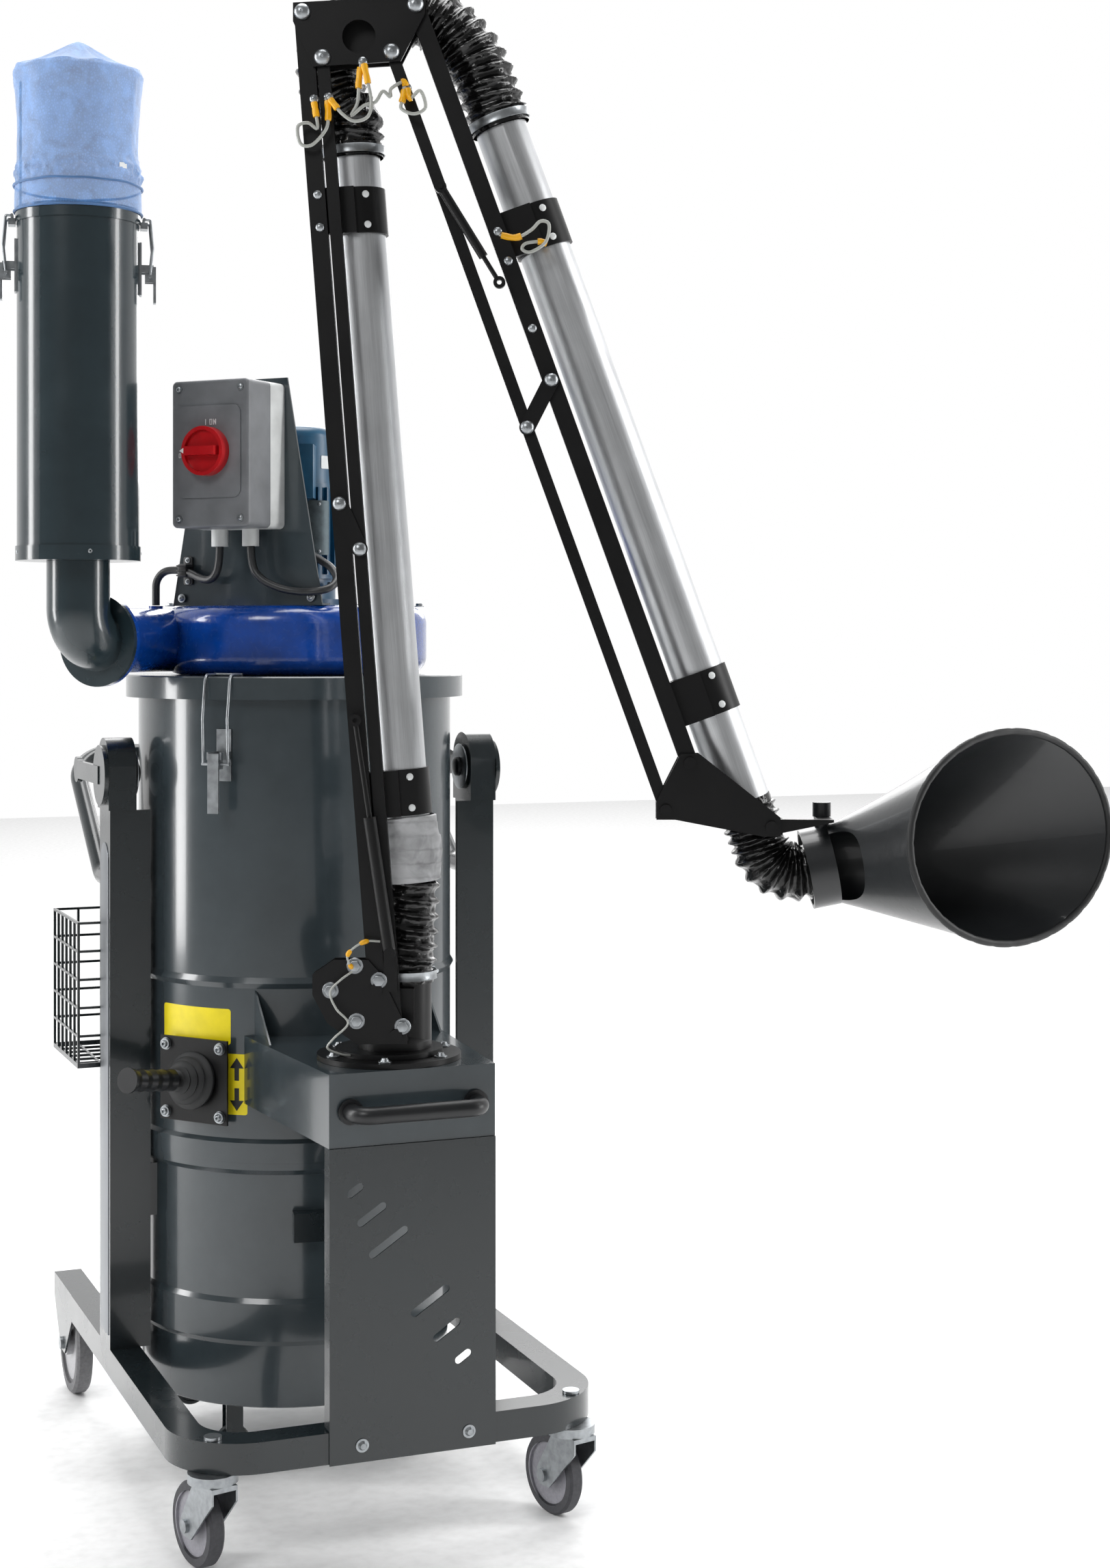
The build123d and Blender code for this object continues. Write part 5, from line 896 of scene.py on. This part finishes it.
class COLLECTOR_OT_drum(bpy.types.Operator):
    """Fit the drum's seam and bare labels and the pleated felt of its filter"""
    bl_idname = "collector.drum"
    bl_label = "Drum"

    def execute(self, context):
        curved_patch("plain_label_yellow", "yellow_vinyl", DRUM_RADIUS, -144.0, 737.0,
                     round_rect(142, 58, 5))
        curved_patch("arrow_label", "yellow_vinyl", DRUM_RADIUS, -126.4, 645.0, round_rect(36, 98, 4))
        for sign, name, height in ((1, "arrow_up", 669.0), (-1, "arrow_down", 621.0)):
            arrow = [(-4, -18 * sign), (4, -18 * sign), (4, 2 * sign), (12, 2 * sign), (0, 19 * sign),
                     (-12, 2 * sign), (-4, 2 * sign)]
            curved_patch(name, "black_print", DRUM_RADIUS + 0.25, -126.4, height, arrow, 0.25)
        r, a = DRUM_RADIUS + 0.3, math.radians(75)
        seam = [Vector((r * math.cos(a), r * math.sin(a), z)) * MM for z in range(560, 1262, 4)]
        weld = pipe(seam, [0.0016 + 0.0005 * math.sin(i * 2.1) for i in range(len(seam))], 8)
        fit("machine", "drum_seam", weld, "drum_powder_coat")
        low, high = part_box("filter")
        outer = (high.x - low.x) / 2 - 0.001
        rows, columns = 40, 240
        bm = bmesh.new()
        rings = []
        for i in range(rows + 1):
            z = low.z + (high.z - low.z) * i / rows
            ring = []
            for j in range(columns):
                a = 2 * math.pi * j / columns
                deep = 0.5 + 0.5 * math.cos(a * 60)
                r = outer - 0.020 * deep if 0 < i < rows else outer
                ring.append(bm.verts.new((r * math.cos(a), r * math.sin(a), z)))
            rings.append(ring)
        skin(bm, rings)
        bm.faces.new(rings[0][::-1])
        bm.faces.new(rings[-1])
        felt = fit("machine", "pleated_filter", bm, "filter_felt")
        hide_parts("filter")
        return {"FINISHED"}


class COLLECTOR_OT_fan(bpy.types.Operator):
    """Bolt the fan scroll and motor and fit the motor's bare plates"""
    bl_idname = "collector.fan"
    bl_label = "Fan and motor"

    def execute(self, context):
        flange = OUTLET @ move(350, OUTLET_OFFSET, 1361.15)
        places = []
        for i in range(8):
            a = math.radians(22.5 + 45 * i)
            spot = flange @ (Vector((-6.2, 64.5 * math.cos(a), 64.5 * math.sin(a))) * MM)
            places.append(facing(spot, -(OUTLET.to_3x3() @ Vector((1, 0, 0)))))
        scatter("outlet_flange_bolts", "machine", hex_bolt, 6.0, 4.0, places)
        rim = round_spots(12, 15, 213, 1419.0)
        near = [p for p in rim if (OUTLET.inverted() @ p.translation).x < 0.13]
        scatter("scroll_rim_bolts", "machine", hex_bolt, 6.0, 4.5, near)
        scatter("motor_foot_nuts", "machine", hex_bolt, 6.5, 6.5, round_spots(4, -60, 84, 1452.0))
        curved_patch("motor_bare_plate", "dark_plate", 82.6, -77.0, 1552.0, round_rect(40, 92, 3), 0.9)
        curved_patch("motor_white_label", "white_vinyl", 73.2, -60.0, 1664.0, round_rect(24, 22, 2), 0.3)
        cowl = round_spots(6, 12, 72.4, 1640, upright=False)
        scatter("cowl_screws", "machine", dome_bolt, 3.4, 2.4, cowl)
        return {"FINISHED"}


class COLLECTOR_OT_silencer(bpy.types.Operator):
    """Fit the silencer's screws and the gathered net over its outlet"""
    bl_idname = "collector.silencer"
    bl_label = "Silencer and net"

    def execute(self, context):
        centre = SILENCER.translation
        screws = []
        for a in (-176.0, -90.0, -4.0, 86.0):
            x, y = math.cos(math.radians(a)), math.sin(math.radians(a))
            spot = centre + Vector((96.2 * x, 96.2 * y, 1501.0)) * MM
            screws.append(facing(spot, (x, y, 0)))
        scatter("silencer_screws", "machine", dome_bolt, 3.6, 2.6, screws)
        folds = context.scene.collector_sizes.net_crumple
        profile = [(99.4, 2040), (99.9, 2052), (99.6, 2066), (99.0, 2082), (97.2, 2090),
                   (99.5, 2098), (97.0, 2106), (99.0, 2114), (96.4, 2122), (95.6, 2136),
                   (95.4, 2156), (95.8, 2176), (96.8, 2196), (98.4, 2216), (100.4, 2236),
                   (102.2, 2252), (102.6, 2262), (99.0, 2269), (90.0, 2272.5), (76.0, 2277),
                   (60.0, 2284), (44.0, 2292.5), (30.0, 2301), (18.0, 2309), (9.0, 2314),
                   (3.0, 2316.5)]
        rows = []
        for (r0, z0), (r1, z1) in zip(profile, profile[1:]):
            for k in range(3):
                rows.append((r0 + (r1 - r0) * k / 3, z0 + (z1 - z0) * k / 3))
        rows.append(profile[-1])
        segments = 168
        bm = bmesh.new()
        rings = []
        for r, z in rows:
            ring = []
            gather = max(0.0, 1 - abs(z - 2102) / 26)
            slack = 1.0 if z > 2130 else 0.0
            for j in range(segments):
                a = 2 * math.pi * j / segments
                n1 = noise.noise(Vector((math.cos(a) * 3, math.sin(a) * 3, z * 0.012)))
                n2 = noise.noise(Vector((math.cos(a) * 9, math.sin(a) * 9, z * 0.045 + 5)))
                n3 = noise.noise(Vector((math.cos(a) * 16, math.sin(a) * 16, z * 0.09 + 9)))
                wave = folds * 1000 * (gather * (n2 * 0.9 + n3 * 0.8) + slack * (n1 * 0.45 + n2 * 0.25))
                bars = 1.0 - 0.018 * slack * (1 if z < 2258 else 0) * (0.5 - 0.5 * math.cos(8 * a))
                top = min(1.0, r / 40)
                dz = gather * n2 * 5 + (n1 * 4 * top if z > 2268 else 0)
                rr = min(r * bars + wave * top, 103.4)
                ring.append(bm.verts.new(Vector((rr * math.cos(a), rr * math.sin(a), z + dz)) * MM))
            rings.append(ring)
        skin(bm, rings)
        bm.faces.new(rings[-1])
        place = Matrix.Translation(centre)
        net = fit("machine", "outlet_net_cloth", bm, "outlet_net", place)
        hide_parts("outlet_net")
        hem = []
        for i in range(120):
            a = 2 * math.pi * i / 120
            dz = 2.2 * noise.noise(Vector((math.cos(a) * 2, math.sin(a) * 2, 4)))
            hem.append(Vector((100.6 * math.cos(a), 100.6 * math.sin(a), 2083 + dz)) * MM)
        low = [p + Vector((0, 0, -0.041)) for p in hem]
        bands = merge(pipe(hem, 0.0021, 10, closed=True), pipe(low, 0.0016, 8, closed=True))
        cord = fit("machine", "net_hem_cord", bands, "net_hem", place)
        tag = curved_patch("net_bare_tag", "white_vinyl", 98.6, -56.0, 2110.0, round_rect(16, 10, 1.2),
                           0.5, place)
        return {"FINISHED"}


class COLLECTOR_OT_switch(bpy.types.Operator):
    """Fit the switch's printing, its screws and the mark on its knob"""
    bl_idname = "collector.switch"
    bl_label = "Switch"

    def execute(self, context):
        standing = spin(90) @ spin(90, "X")
        for text, x, z, size, gap in (("ON", 8, 1716, 9.5, 7.5), ("I", -6, 1716, 9.5, 9),
                                      ("OFF", -50.5, 1663, 7.5, 6.0), ("O", -50.5, 1674, 8.0, 9)):
            name = "switch_word_" + text.lower() + ("_sign" if len(text) == 1 else "")
            fit("machine", name, word(text, size, gap, 0.3), "white_vinyl",
                SWITCH @ move(109.3, 0, 0) @ standing @ move(x, z, 0), smooth=False)
        corners = outward(SWITCH, 106.4, ((-60, 1559), (-60, 1771), (60, 1559), (60, 1771)))
        scatter("switch_cover_screws", "machine", dome_bolt, 4.2, 2.6, corners)
        reach = max((SWITCH.inverted() @ v.co).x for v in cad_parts["switch_knob"].data.vertices)
        fit("switch_knob", "knob_white_mark", slab([(-4.5, 0), (3.0, -4.5), (3.0, 4.5)], 0, 0.5),
            "white_vinyl", SWITCH @ move(reach / MM - 0.1, 0, 1668) @ standing @ move(-31.5, 0, 0))
        scatter("bracket_bolts", "machine", dome_bolt, 5.0, 3.4,
                outward(SWITCH, 3.2, ((-128, 1432), (128, 1432))))
        return {"FINISHED"}


class COLLECTOR_OT_cables(bpy.types.Operator):
    """Lay the two cables from the switch's glands to the fan and the motor"""
    bl_idname = "collector.cables"
    bl_label = "Cables"

    def cable(self, name, route):
        curve = bpy.data.curves.new(name, "CURVE")
        curve.dimensions = "3D"
        curve.bevel_depth = 0.0065
        curve.bevel_resolution = 6
        curve.resolution_u = 16
        curve.use_fill_caps = True
        spline = curve.splines.new("NURBS")
        spline.points.add(len(route) - 1)
        points = [SWITCH @ (Vector(p) * MM) for p in route]
        for point, place in zip(spline.points, points):
            point.co = (*place, 1.0)
        spline.order_u = 3
        spline.use_endpoint_u = True
        curve.materials.append(finish_of("cable_pvc"))
        obj = bpy.data.objects.new(name, curve)
        bpy.context.scene.collection.objects.link(obj)
        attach(obj, "machine")
        return obj, points[0]

    def execute(self, context):
        fan_route = [(28, -34, 1530.7), (28, -34, 1484), (27, -50, 1461), (21, -76, 1463),
                     (15, -104, 1475), (14, -132, 1480), (16, -156, 1478), (17, -171, 1462),
                     (16, -172, 1442), (16, -172, 1420)]
        motor_route = [(28, 27, 1530.7), (28, 27, 1486), (27, 45, 1462), (20, 76, 1447),
                       (13, 108, 1441), (11, 140, 1441), (-4, 162, 1446), (-30, 160, 1462),
                       (-46, 138, 1482), (-54, 108, 1496), (-60, 76, 1512), (-62, 46, 1532),
                       (-62, 44, 1566), (-62, 44, 1599.7)]
        fan, fan_exit = self.cable("fan_cable", fan_route)
        motor, motor_exit = self.cable("motor_cable", motor_route)
        place = SWITCH @ move(0.3, -115, 1478) @ spin(90) @ spin(90, "X")
        foot = slab(round_rect(18, 48, 4), 0, 4.0, 0.8)
        saddle = slab(round_rect(18, 22, 3), 4.0, 22.5, 2.0)
        ribs = [moved(slab(round_rect(20, 2.6, 1.0), 4.0, 24.0, 0.6), move(0, y, 0)) for y in (-8, 0, 8)]
        clip = fit("machine", "cable_clip", merge(foot, saddle, *ribs), "black_nylon", place)
        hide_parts("cables")
        ends = [place @ move(0, y, 4.0) for y in (-18, 18)]
        scatter("cable_clip_screws", "machine", dome_bolt, 3.2, 2.2, ends)
        return {"FINISHED"}


class COLLECTOR_OT_front(bpy.types.Operator):
    """Fit the shaker's bolts and rubber boot, and the rivets of the motor's plate"""
    bl_idname = "collector.front"
    bl_label = "Shaker and rivets"

    def execute(self, context):
        plate = outward(SHAKER, 282.2, ((-55, 594), (-55, 704), (55, 594), (55, 704)))
        scatter("shaker_bolts", "machine", dome_bolt, 6.0, 4.5, plate)
        rivets = [round_spots(1, -77.0, 83.4, z, upright=False)[0] for z in (1512.0, 1592.0)]
        scatter("motor_plate_rivets", "machine", dome_bolt, 1.6, 1.4, rivets)
        profile = [(46.5, 0), (46.5, 4), (44.0, 7), (40.0, 8), (36.0, 12), (38.5, 16), (36.0, 19),
                   (30.0, 22), (32.0, 26), (29.0, 29), (23.0, 32), (24.0, 35), (19.0, 38),
                   (17.0, 41), (13.0, 42), (9.6, 42)]
        boot = new_object("shaker_rubber_boot", lathe(profile, 72), finish_of("black_rubber"),
                          SHAKER @ move(282.2, 0, SHAKER_HEIGHT) @ spin(-9, "Y") @ spin(90, "Y"))
        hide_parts("shaker_boot")
        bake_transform(boot)
        return {"FINISHED"}


class COLLECTOR_OT_arm(bpy.types.Operator):
    """Fit the arm's bolts and earth wires"""
    bl_idname = "collector.arm"
    bl_label = "Arm"

    def execute(self, context):
        near = ARM.to_3x3() @ Vector((0, -1, 0))

        def bolts(name, body, bolt, radius, height, face, *places):
            spots = [facing(arm_point(x, z, face), near) for x, z in places]
            scatter(name, body, bolt, radius, height, spots)

        bolts("base_plate_bolts", "arm_turret", hex_bolt, 9, 6, PLATE_FACE,
              (-45.7, 874.2), (-82.3, 837.5), (-9.9, 852.4), (-43.1, 791.3), (25.8, 783.4))
        for body, face, places in (("elbow", PLATE_FACE, ((-33.8, 2229.0),)),
                                   ("lower_arm", BAR_FACE, ((-107.0, 2174.0), (-86.0, 2176.7))),
                                   ("outer_tie_bar", BAR_FACE, ((31.6, 2190.6),))):
            bolts("earth_bolts_on_" + body, body, button_bolt, 7.5, 6.5, face, *places)
        bolts("elbow_pivot_bolts", "elbow", button_bolt, 12.5, 10.0, BOSS_FACE,
              (-124.6, 2303.7), ELBOW, (-94.6, 2235.7), (9.0, 2244.0))
        bolts("lower_bar_bolts", "lower_arm", button_bolt, 7.0, 5.5, BAR_FACE,
              (-102.0, 2030.6), (-98.5, 1981.5))
        bolts("outer_bar_bolts", "outer_arm", button_bolt, 7.0, 5.5, BAR_FACE,
              (168.0, 1975.3), (184.0, 1931.3), (220.0, 1829.9))
        for name, middle, link, bodies in (
                ("lower_link_bolt", along(SHOULDER, LOWER_REACH, 0.497), LOWER_LINK,
                 ("lower_arm", "lower_tie_bar")),
                ("outer_link_bolt", along(ELBOW, OUTER_REACH, 0.495), OUTER_LINK,
                 ("outer_arm", "outer_tie_bar"))):
            ends = (middle, along(middle, link, 1))
            for n, (body, end) in enumerate(zip(bodies, ends)):
                bolts("%s_%d" % (name, n + 1), body, button_bolt, 10.5, 8.0, BOSS_FACE, end)
        for name, start, way, side, off, runs, body in (
                ("lower_clamp_bolts", SHOULDER, LOWER_WAY, LOWER_SIDE, LOWER_PIPE_OFFSET,
                 (265.0, 312.0, 1151.0, 1197.0), "lower_arm"),
                ("outer_clamp_bolts", ELBOW, OUTER_WAY, OUTER_SIDE, OUTER_PIPE_OFFSET,
                 (345.0, 391.0, 1098.0, 1144.0), "outer_arm")):
            places = []
            for run in runs:
                x, z = along(start, way, run, side, off)
                lean = math.radians(22.0)
                out = Vector((side[0] * math.sin(lean), -math.cos(lean), side[1] * math.sin(lean)))
                spot = Vector((x, 0, z)) + out * 44.2
                places.append(facing(arm_point(spot.x, spot.z, spot.y), ARM.to_3x3() @ out))
            scatter(name, body, button_bolt, 5.5, 3.2, places, "white_vinyl")
        path = [(-8.0, 911.0, -80), (-28.0, 912.0, -86), (-46.0, 903.0, -90), (-56.0, 890.0, -90),
                (-52.0, 876.0, -86), (-48.0, 868.0, -83), (-66.0, 855.0, -92), (-82.0, 836.0, -86),
                (-72.0, 812.0, -94), (-55.0, 790.0, -88), (-76.0, 768.0, -92), (-86.0, 752.0, -84),
                (-66.0, 740.0, -70), (-50.0, 736.0, -58)]
        line = [arm_point(*point) for point in smooth_line(path)]
        fit("arm_turret", "foot_earth_wire", pipe(line, 0.0017, 10), "earth_wire")
        sleeves = [pipe(line[i:i + 5], [0.0024, 0.0036, 0.0038, 0.0036, 0.0024], 12) for i in (5, 14, 23)]
        fit("arm_turret", "foot_crimp_sleeves", merge(*sleeves), "yellow_crimp")
        loops = (
            ("lower_arm", "lower_arm", -84.0,
             [(-107, 2170), (-104, 2154), (-101, 2127), (-115, 2135), (-130, 2129), (-126, 2104),
              (-109, 2102), (-89, 2124), (-85, 2143), (-86, 2172)]),
            ("lower_arm", "elbow", -90.0,
             [(-84, 2173), (-74, 2160), (-62, 2146), (-45, 2136), (-25, 2143), (-20, 2166), (-26, 2198),
              (-32, 2225)]),
            ("elbow", "outer_tie_bar", -84.0,
             [(-36, 2225), (-39, 2198), (-41, 2166), (-50, 2146), (-31, 2161), (-14, 2166), (-3, 2182),
              (8, 2174), (9, 2186), (27, 2197), (31, 2190)]),
            ("outer_tie_bar", "outer_tie_bar", -90.0,
             [(30, 2188), (27, 2170), (25, 2155), (44, 2147), (61, 2157), (53, 2182), (38, 2171),
              (33, 2188)]),
            ("outer_arm", "outer_arm", -72.0,
             [(166, 1972), (195, 1966), (218, 1977), (232, 1990), (245, 1985), (240, 1959), (218, 1944),
              (205, 1948), (210, 1957), (231, 1960), (243, 1957)]),
        )
        for n, (body, far_body, y, marks) in enumerate(loops):
            flat = smooth_line(marks)
            line = [arm_point(x, z, y - 5 * math.sin(math.pi * (i + 1) / len(flat)))
                    for i, (x, z) in enumerate(flat)]
            strand = new_object("earth_wire_%d" % n, pipe(line, 0.0026, 10), finish_of("earth_wire"))
            sleeves = [pipe(run, [0.0048, 0.0052, 0.005, 0.0046, 0.005, 0.0054, 0.005], 14)
                       for run in (line[2:9], line[-7:])]
            sleeve = new_object("crimp_sleeves_%d" % n, merge(*sleeves), finish_of("yellow_crimp"))
            for piece in (strand, sleeve):
                if body == far_body:
                    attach(piece, body)
                else:
                    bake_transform(piece)
        return {"FINISHED"}


class COLLECTOR_OT_hoses(bpy.types.Operator):
    """Make the crumpled wire hoses at the shoulder, elbow and hood, with their clamps and tape"""
    bl_idname = "collector.hoses"
    bl_label = "Hoses and tape"

    def hose(self, name, points, turns, seed, cuffs, cuts=(0.0, 1.0), fat=0.0462):
        """A piece of hose from each cut to the next, and the places where each begins and ends."""
        sizes = bpy.context.scene.collector_sizes
        made = []
        for n, span in enumerate(zip(cuts, cuts[1:])):
            bm = ribbed_hose(points, turns, fat, fat - sizes.rib_depth, sizes.hose_crumple, seed, cuffs,
                             span)
            piece = new_object(name if len(cuts) == 2 else "%s_%d" % (name, n + 1), bm,
                               finish_of("coated_hose"))
            made.append(piece)
        lengths = [0.0]
        for p, q in zip(points, points[1:]):
            lengths.append(lengths[-1] + (q - p).length)

        def at(share):
            run = share * lengths[-1]
            for i in range(len(lengths) - 1):
                if lengths[i + 1] >= run:
                    t = (run - lengths[i]) / (lengths[i + 1] - lengths[i])
                    return points[i].lerp(points[i + 1], t)
            return points[-1]

        return made, [(at(a), at(b)) for a, b in zip(cuts, cuts[1:])]

    def execute(self, context):
        def plane(points):
            return finer([arm_point(x, z) for x, z in points])

        pipe_start = along(SHOULDER, LOWER_WAY, 165, LOWER_SIDE, LOWER_PIPE_OFFSET)
        lead = along(pipe_start, LOWER_WAY, -45)
        line = [(25.0, 840.0)] + bezier_line((25.0, 862.0), (25.0, 907.0), lead, pipe_start)
        line.append(along(pipe_start, LOWER_WAY, 80))
        made = self.hose("shoulder_hose", plane(line), 11, 3.0, (0.02, 0.02), fat=0.0485)[0]
        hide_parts("lower_hose")
        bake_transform(made[0])

        leave = (-53.80, 2097.26)
        start = along(leave, LOWER_WAY, 60)
        meet = (171.72, 2143.89)
        end = along(meet, OUTER_WAY, -70)
        line = [leave] + bezier_line(start, (-190.0, 2320.0), (85.0, 2410.0), end) + [meet]
        made, spans = self.hose("elbow_hose", plane(line), 27, 7.0, (0.022, 0.022), (0.0, 0.5, 1.0),
                                0.0505)
        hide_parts("elbow_hose")
        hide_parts("elbow_hose")
        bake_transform(made[0])
        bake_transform(made[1])

        way = (math.cos(math.radians(11.5)), math.sin(math.radians(11.5)))
        collar = (634 + way[0] * 42, 1010 + way[1] * 42)
        line = rounded_line([(542.94, 1116.92), (585.7, 1000.2), collar], 50.0)
        made, spans = self.hose("hood_hose", plane(line), 13, 11.0, (0.012, 0.02), (0.0, 0.42, 0.7, 1.0))
        pairs = (("outer_arm", "end_link"), ("end_link", "hood_yoke"), ("hood_yoke", "hood"))
        for piece, (a, b), span in zip(made, pairs, spans):
            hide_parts("hood_hose")
            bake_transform(piece)

        clamp_band("shoulder_hose_clamp", "arm_turret", arm_point(25, 852), (0, 0, 1), 200)
        clamp_band("elbow_hose_clamp_1", "lower_arm", arm_point(*along(leave, LOWER_WAY, 10)),
                   arm_way(LOWER_WAY), 200)
        clamp_band("elbow_hose_clamp_2", "outer_arm", arm_point(*along(meet, OUTER_WAY, -12)),
                   arm_way(OUTER_WAY), 20)
        wound_tape("shoulder_tape", "lower_arm", arm_point(*along(pipe_start, LOWER_WAY, -14)),
                   arm_point(*along(pipe_start, LOWER_WAY, 86)), 0.049, 2.0, 0.004)
        wound_tape("hood_tape", "hood", arm_point(*along(collar, way, -34)),
                   arm_point(*along(collar, way, 4)), 0.0495, 5.0, 0.003)
        return {"FINISHED"}


class COLLECTOR_OT_hood(bpy.types.Operator):
    """Fit the hood's rubber edge"""
    bl_idname = "collector.hood"
    bl_label = "Hood"

    def execute(self, context):
        turn = math.radians(-60.0)
        centre = Vector((931, -118, 1070))
        across = Vector((-math.sin(turn), math.cos(turn), 0))
        rim = []
        for i in range(160):
            a = 2 * math.pi * i / 160
            x = centre + across * 191.0 * math.cos(a) + Vector((0, 0, 1)) * 157.0 * math.sin(a)
            rim.append(ARM @ (x * MM))
        radii = [0.0054 if i % 5 else 0.0047 for i in range(160)]
        fit("hood", "hood_rubber_edge", pipe(rim, radii, closed=True), "black_rubber")
        return {"FINISHED"}


class COLLECTOR_OT_stage(bpy.types.Operator):
    """Set the pale floor, the soft lights and the camera"""
    bl_idname = "collector.stage"
    bl_label = "Stage"

    def execute(self, context):
        scene = context.scene
        bm = bmesh.new()
        bmesh.ops.create_grid(bm, x_segments=2, y_segments=2, size=14.0)
        floor = new_object("studio_floor", bm, finish_of("floor_paper"), smooth=False)
        floor.location = (0, 0, -0.0005)
        world = bpy.data.worlds.new("pale_studio")
        world.use_nodes = True
        tree = world.node_tree
        tree.nodes.clear()
        # The room is bright behind the machine and dimmer behind the photographer
        way = add(tree, "ShaderNodeTexCoord").outputs["Generated"]
        depth = add(tree, "ShaderNodeVectorMath", links={0: way}, operation="DOT_PRODUCT")
        depth.inputs[1].default_value = (0.3746, 0.9272, 0.12)
        glow = add(tree, "ShaderNodeMapRange", links={"Value": depth.outputs["Value"]},
                   values={"From Min": -0.1, "From Max": 0.7, "To Min": 0.22, "To Max": 1.0},
                   interpolation_type="SMOOTHSTEP")
        sky = add(tree, "ShaderNodeBackground", links={"Strength": glow.outputs["Result"]},
                  values={"Color": (1.0, 1.0, 1.0, 1.0)})
        add(tree, "ShaderNodeOutputWorld", links={"Surface": sky.outputs["Background"]})
        scene.world = world
        for name, place, aim, wide, high, power in (
                ("left_strip", (-3.5, 0.9, 2.0), (0.0, 0.0, 1.1), 0.7, 3.4, 90.0),
                ("right_strip", (3.4, -1.8, 2.0), (0.0, 0.0, 1.1), 0.6, 3.4, 80.0),
                ("key_light", (-3.6, -3.4, 4.4), (0.0, -0.3, 1.0), 1.8, 1.8, 80.0),
                ("top_light", (0.2, 0.2, 5.0), (0.1, -0.3, 1.0), 2.4, 2.4, 110.0),
                ("back_light", (1.8, 3.4, 3.0), (0.0, 0.0, 1.2), 2.4, 2.4, 60.0),
                ("far_floor_light", (4.4, 8.6, 7.5), (4.4, 8.6, 0.0), 12.0, 8.0, 560.0)):
            data = bpy.data.lights.new(name, "AREA")
            data.shape = "RECTANGLE"
            data.size = wide
            data.size_y = high
            data.energy = power
            lamp = bpy.data.objects.new(name, data)
            lamp.location = place
            aimed = Vector(aim) - Vector(place)
            lamp.rotation_euler = aimed.to_track_quat("-Z", "Y").to_euler()
            scene.collection.objects.link(lamp)
        data = bpy.data.cameras.new("photo_camera")
        data.sensor_fit = "VERTICAL"
        data.sensor_height = 36.0
        data.lens = FOCAL_LENGTH / PHOTO_HEIGHT * data.sensor_height
        data.shift_y = (HORIZON_ROW - PHOTO_HEIGHT / 2) / PHOTO_HEIGHT
        data.clip_end = 100.0
        camera = bpy.data.objects.new("photo_camera", data)
        turn = math.radians(CAMERA_TURN)
        x = -CAMERA_SIDE * math.cos(turn) - CAMERA_BACK * math.sin(turn)
        y = CAMERA_SIDE * math.sin(turn) - CAMERA_BACK * math.cos(turn)
        camera.location = Vector((x, y, CAMERA_HEIGHT)) * MM
        camera.rotation_euler = (math.radians(90), 0, -turn)
        scene.collection.objects.link(camera)
        scene.camera = camera
        scene.view_settings.view_transform = "Standard"
        return {"FINISHED"}


class COLLECTOR_PT_panel(bpy.types.Panel):
    """Shows the machine's sizes and colours and a button for each step"""
    bl_idname = "COLLECTOR_PT_panel"
    bl_label = "Dust collector"
    bl_space_type = "VIEW_3D"
    bl_region_type = "UI"
    bl_category = "Dust collector"

    def draw(self, context):
        layout = self.layout
        for group in (context.scene.collector_sizes, context.scene.collector_colours):
            box = layout.box()
            for key in group.__annotations__:
                box.prop(group, key)
        for operator in STEPS:
            layout.operator(operator.bl_idname)


STEPS = (COLLECTOR_OT_finishes, COLLECTOR_OT_wheels, COLLECTOR_OT_posts, COLLECTOR_OT_drum,
         COLLECTOR_OT_fan, COLLECTOR_OT_silencer, COLLECTOR_OT_switch, COLLECTOR_OT_cables,
         COLLECTOR_OT_front, COLLECTOR_OT_arm, COLLECTOR_OT_hoses, COLLECTOR_OT_hood, COLLECTOR_OT_stage)
CLASSES = (CollectorColours, CollectorSizes) + STEPS + (COLLECTOR_PT_panel,)


def register():
    for cls in CLASSES:
        bpy.utils.register_class(cls)
    bpy.types.Scene.collector_colours = PointerProperty(type=CollectorColours)
    bpy.types.Scene.collector_sizes = PointerProperty(type=CollectorSizes)


def unregister():
    del bpy.types.Scene.collector_sizes
    del bpy.types.Scene.collector_colours
    for cls in reversed(CLASSES):
        bpy.utils.unregister_class(cls)


def main():
    register()
    for step in STEPS:
        getattr(bpy.ops.collector, step.bl_idname.split(".")[1])()
    bpy.context.view_layer.update()


if __name__ == "__main__":
    main()
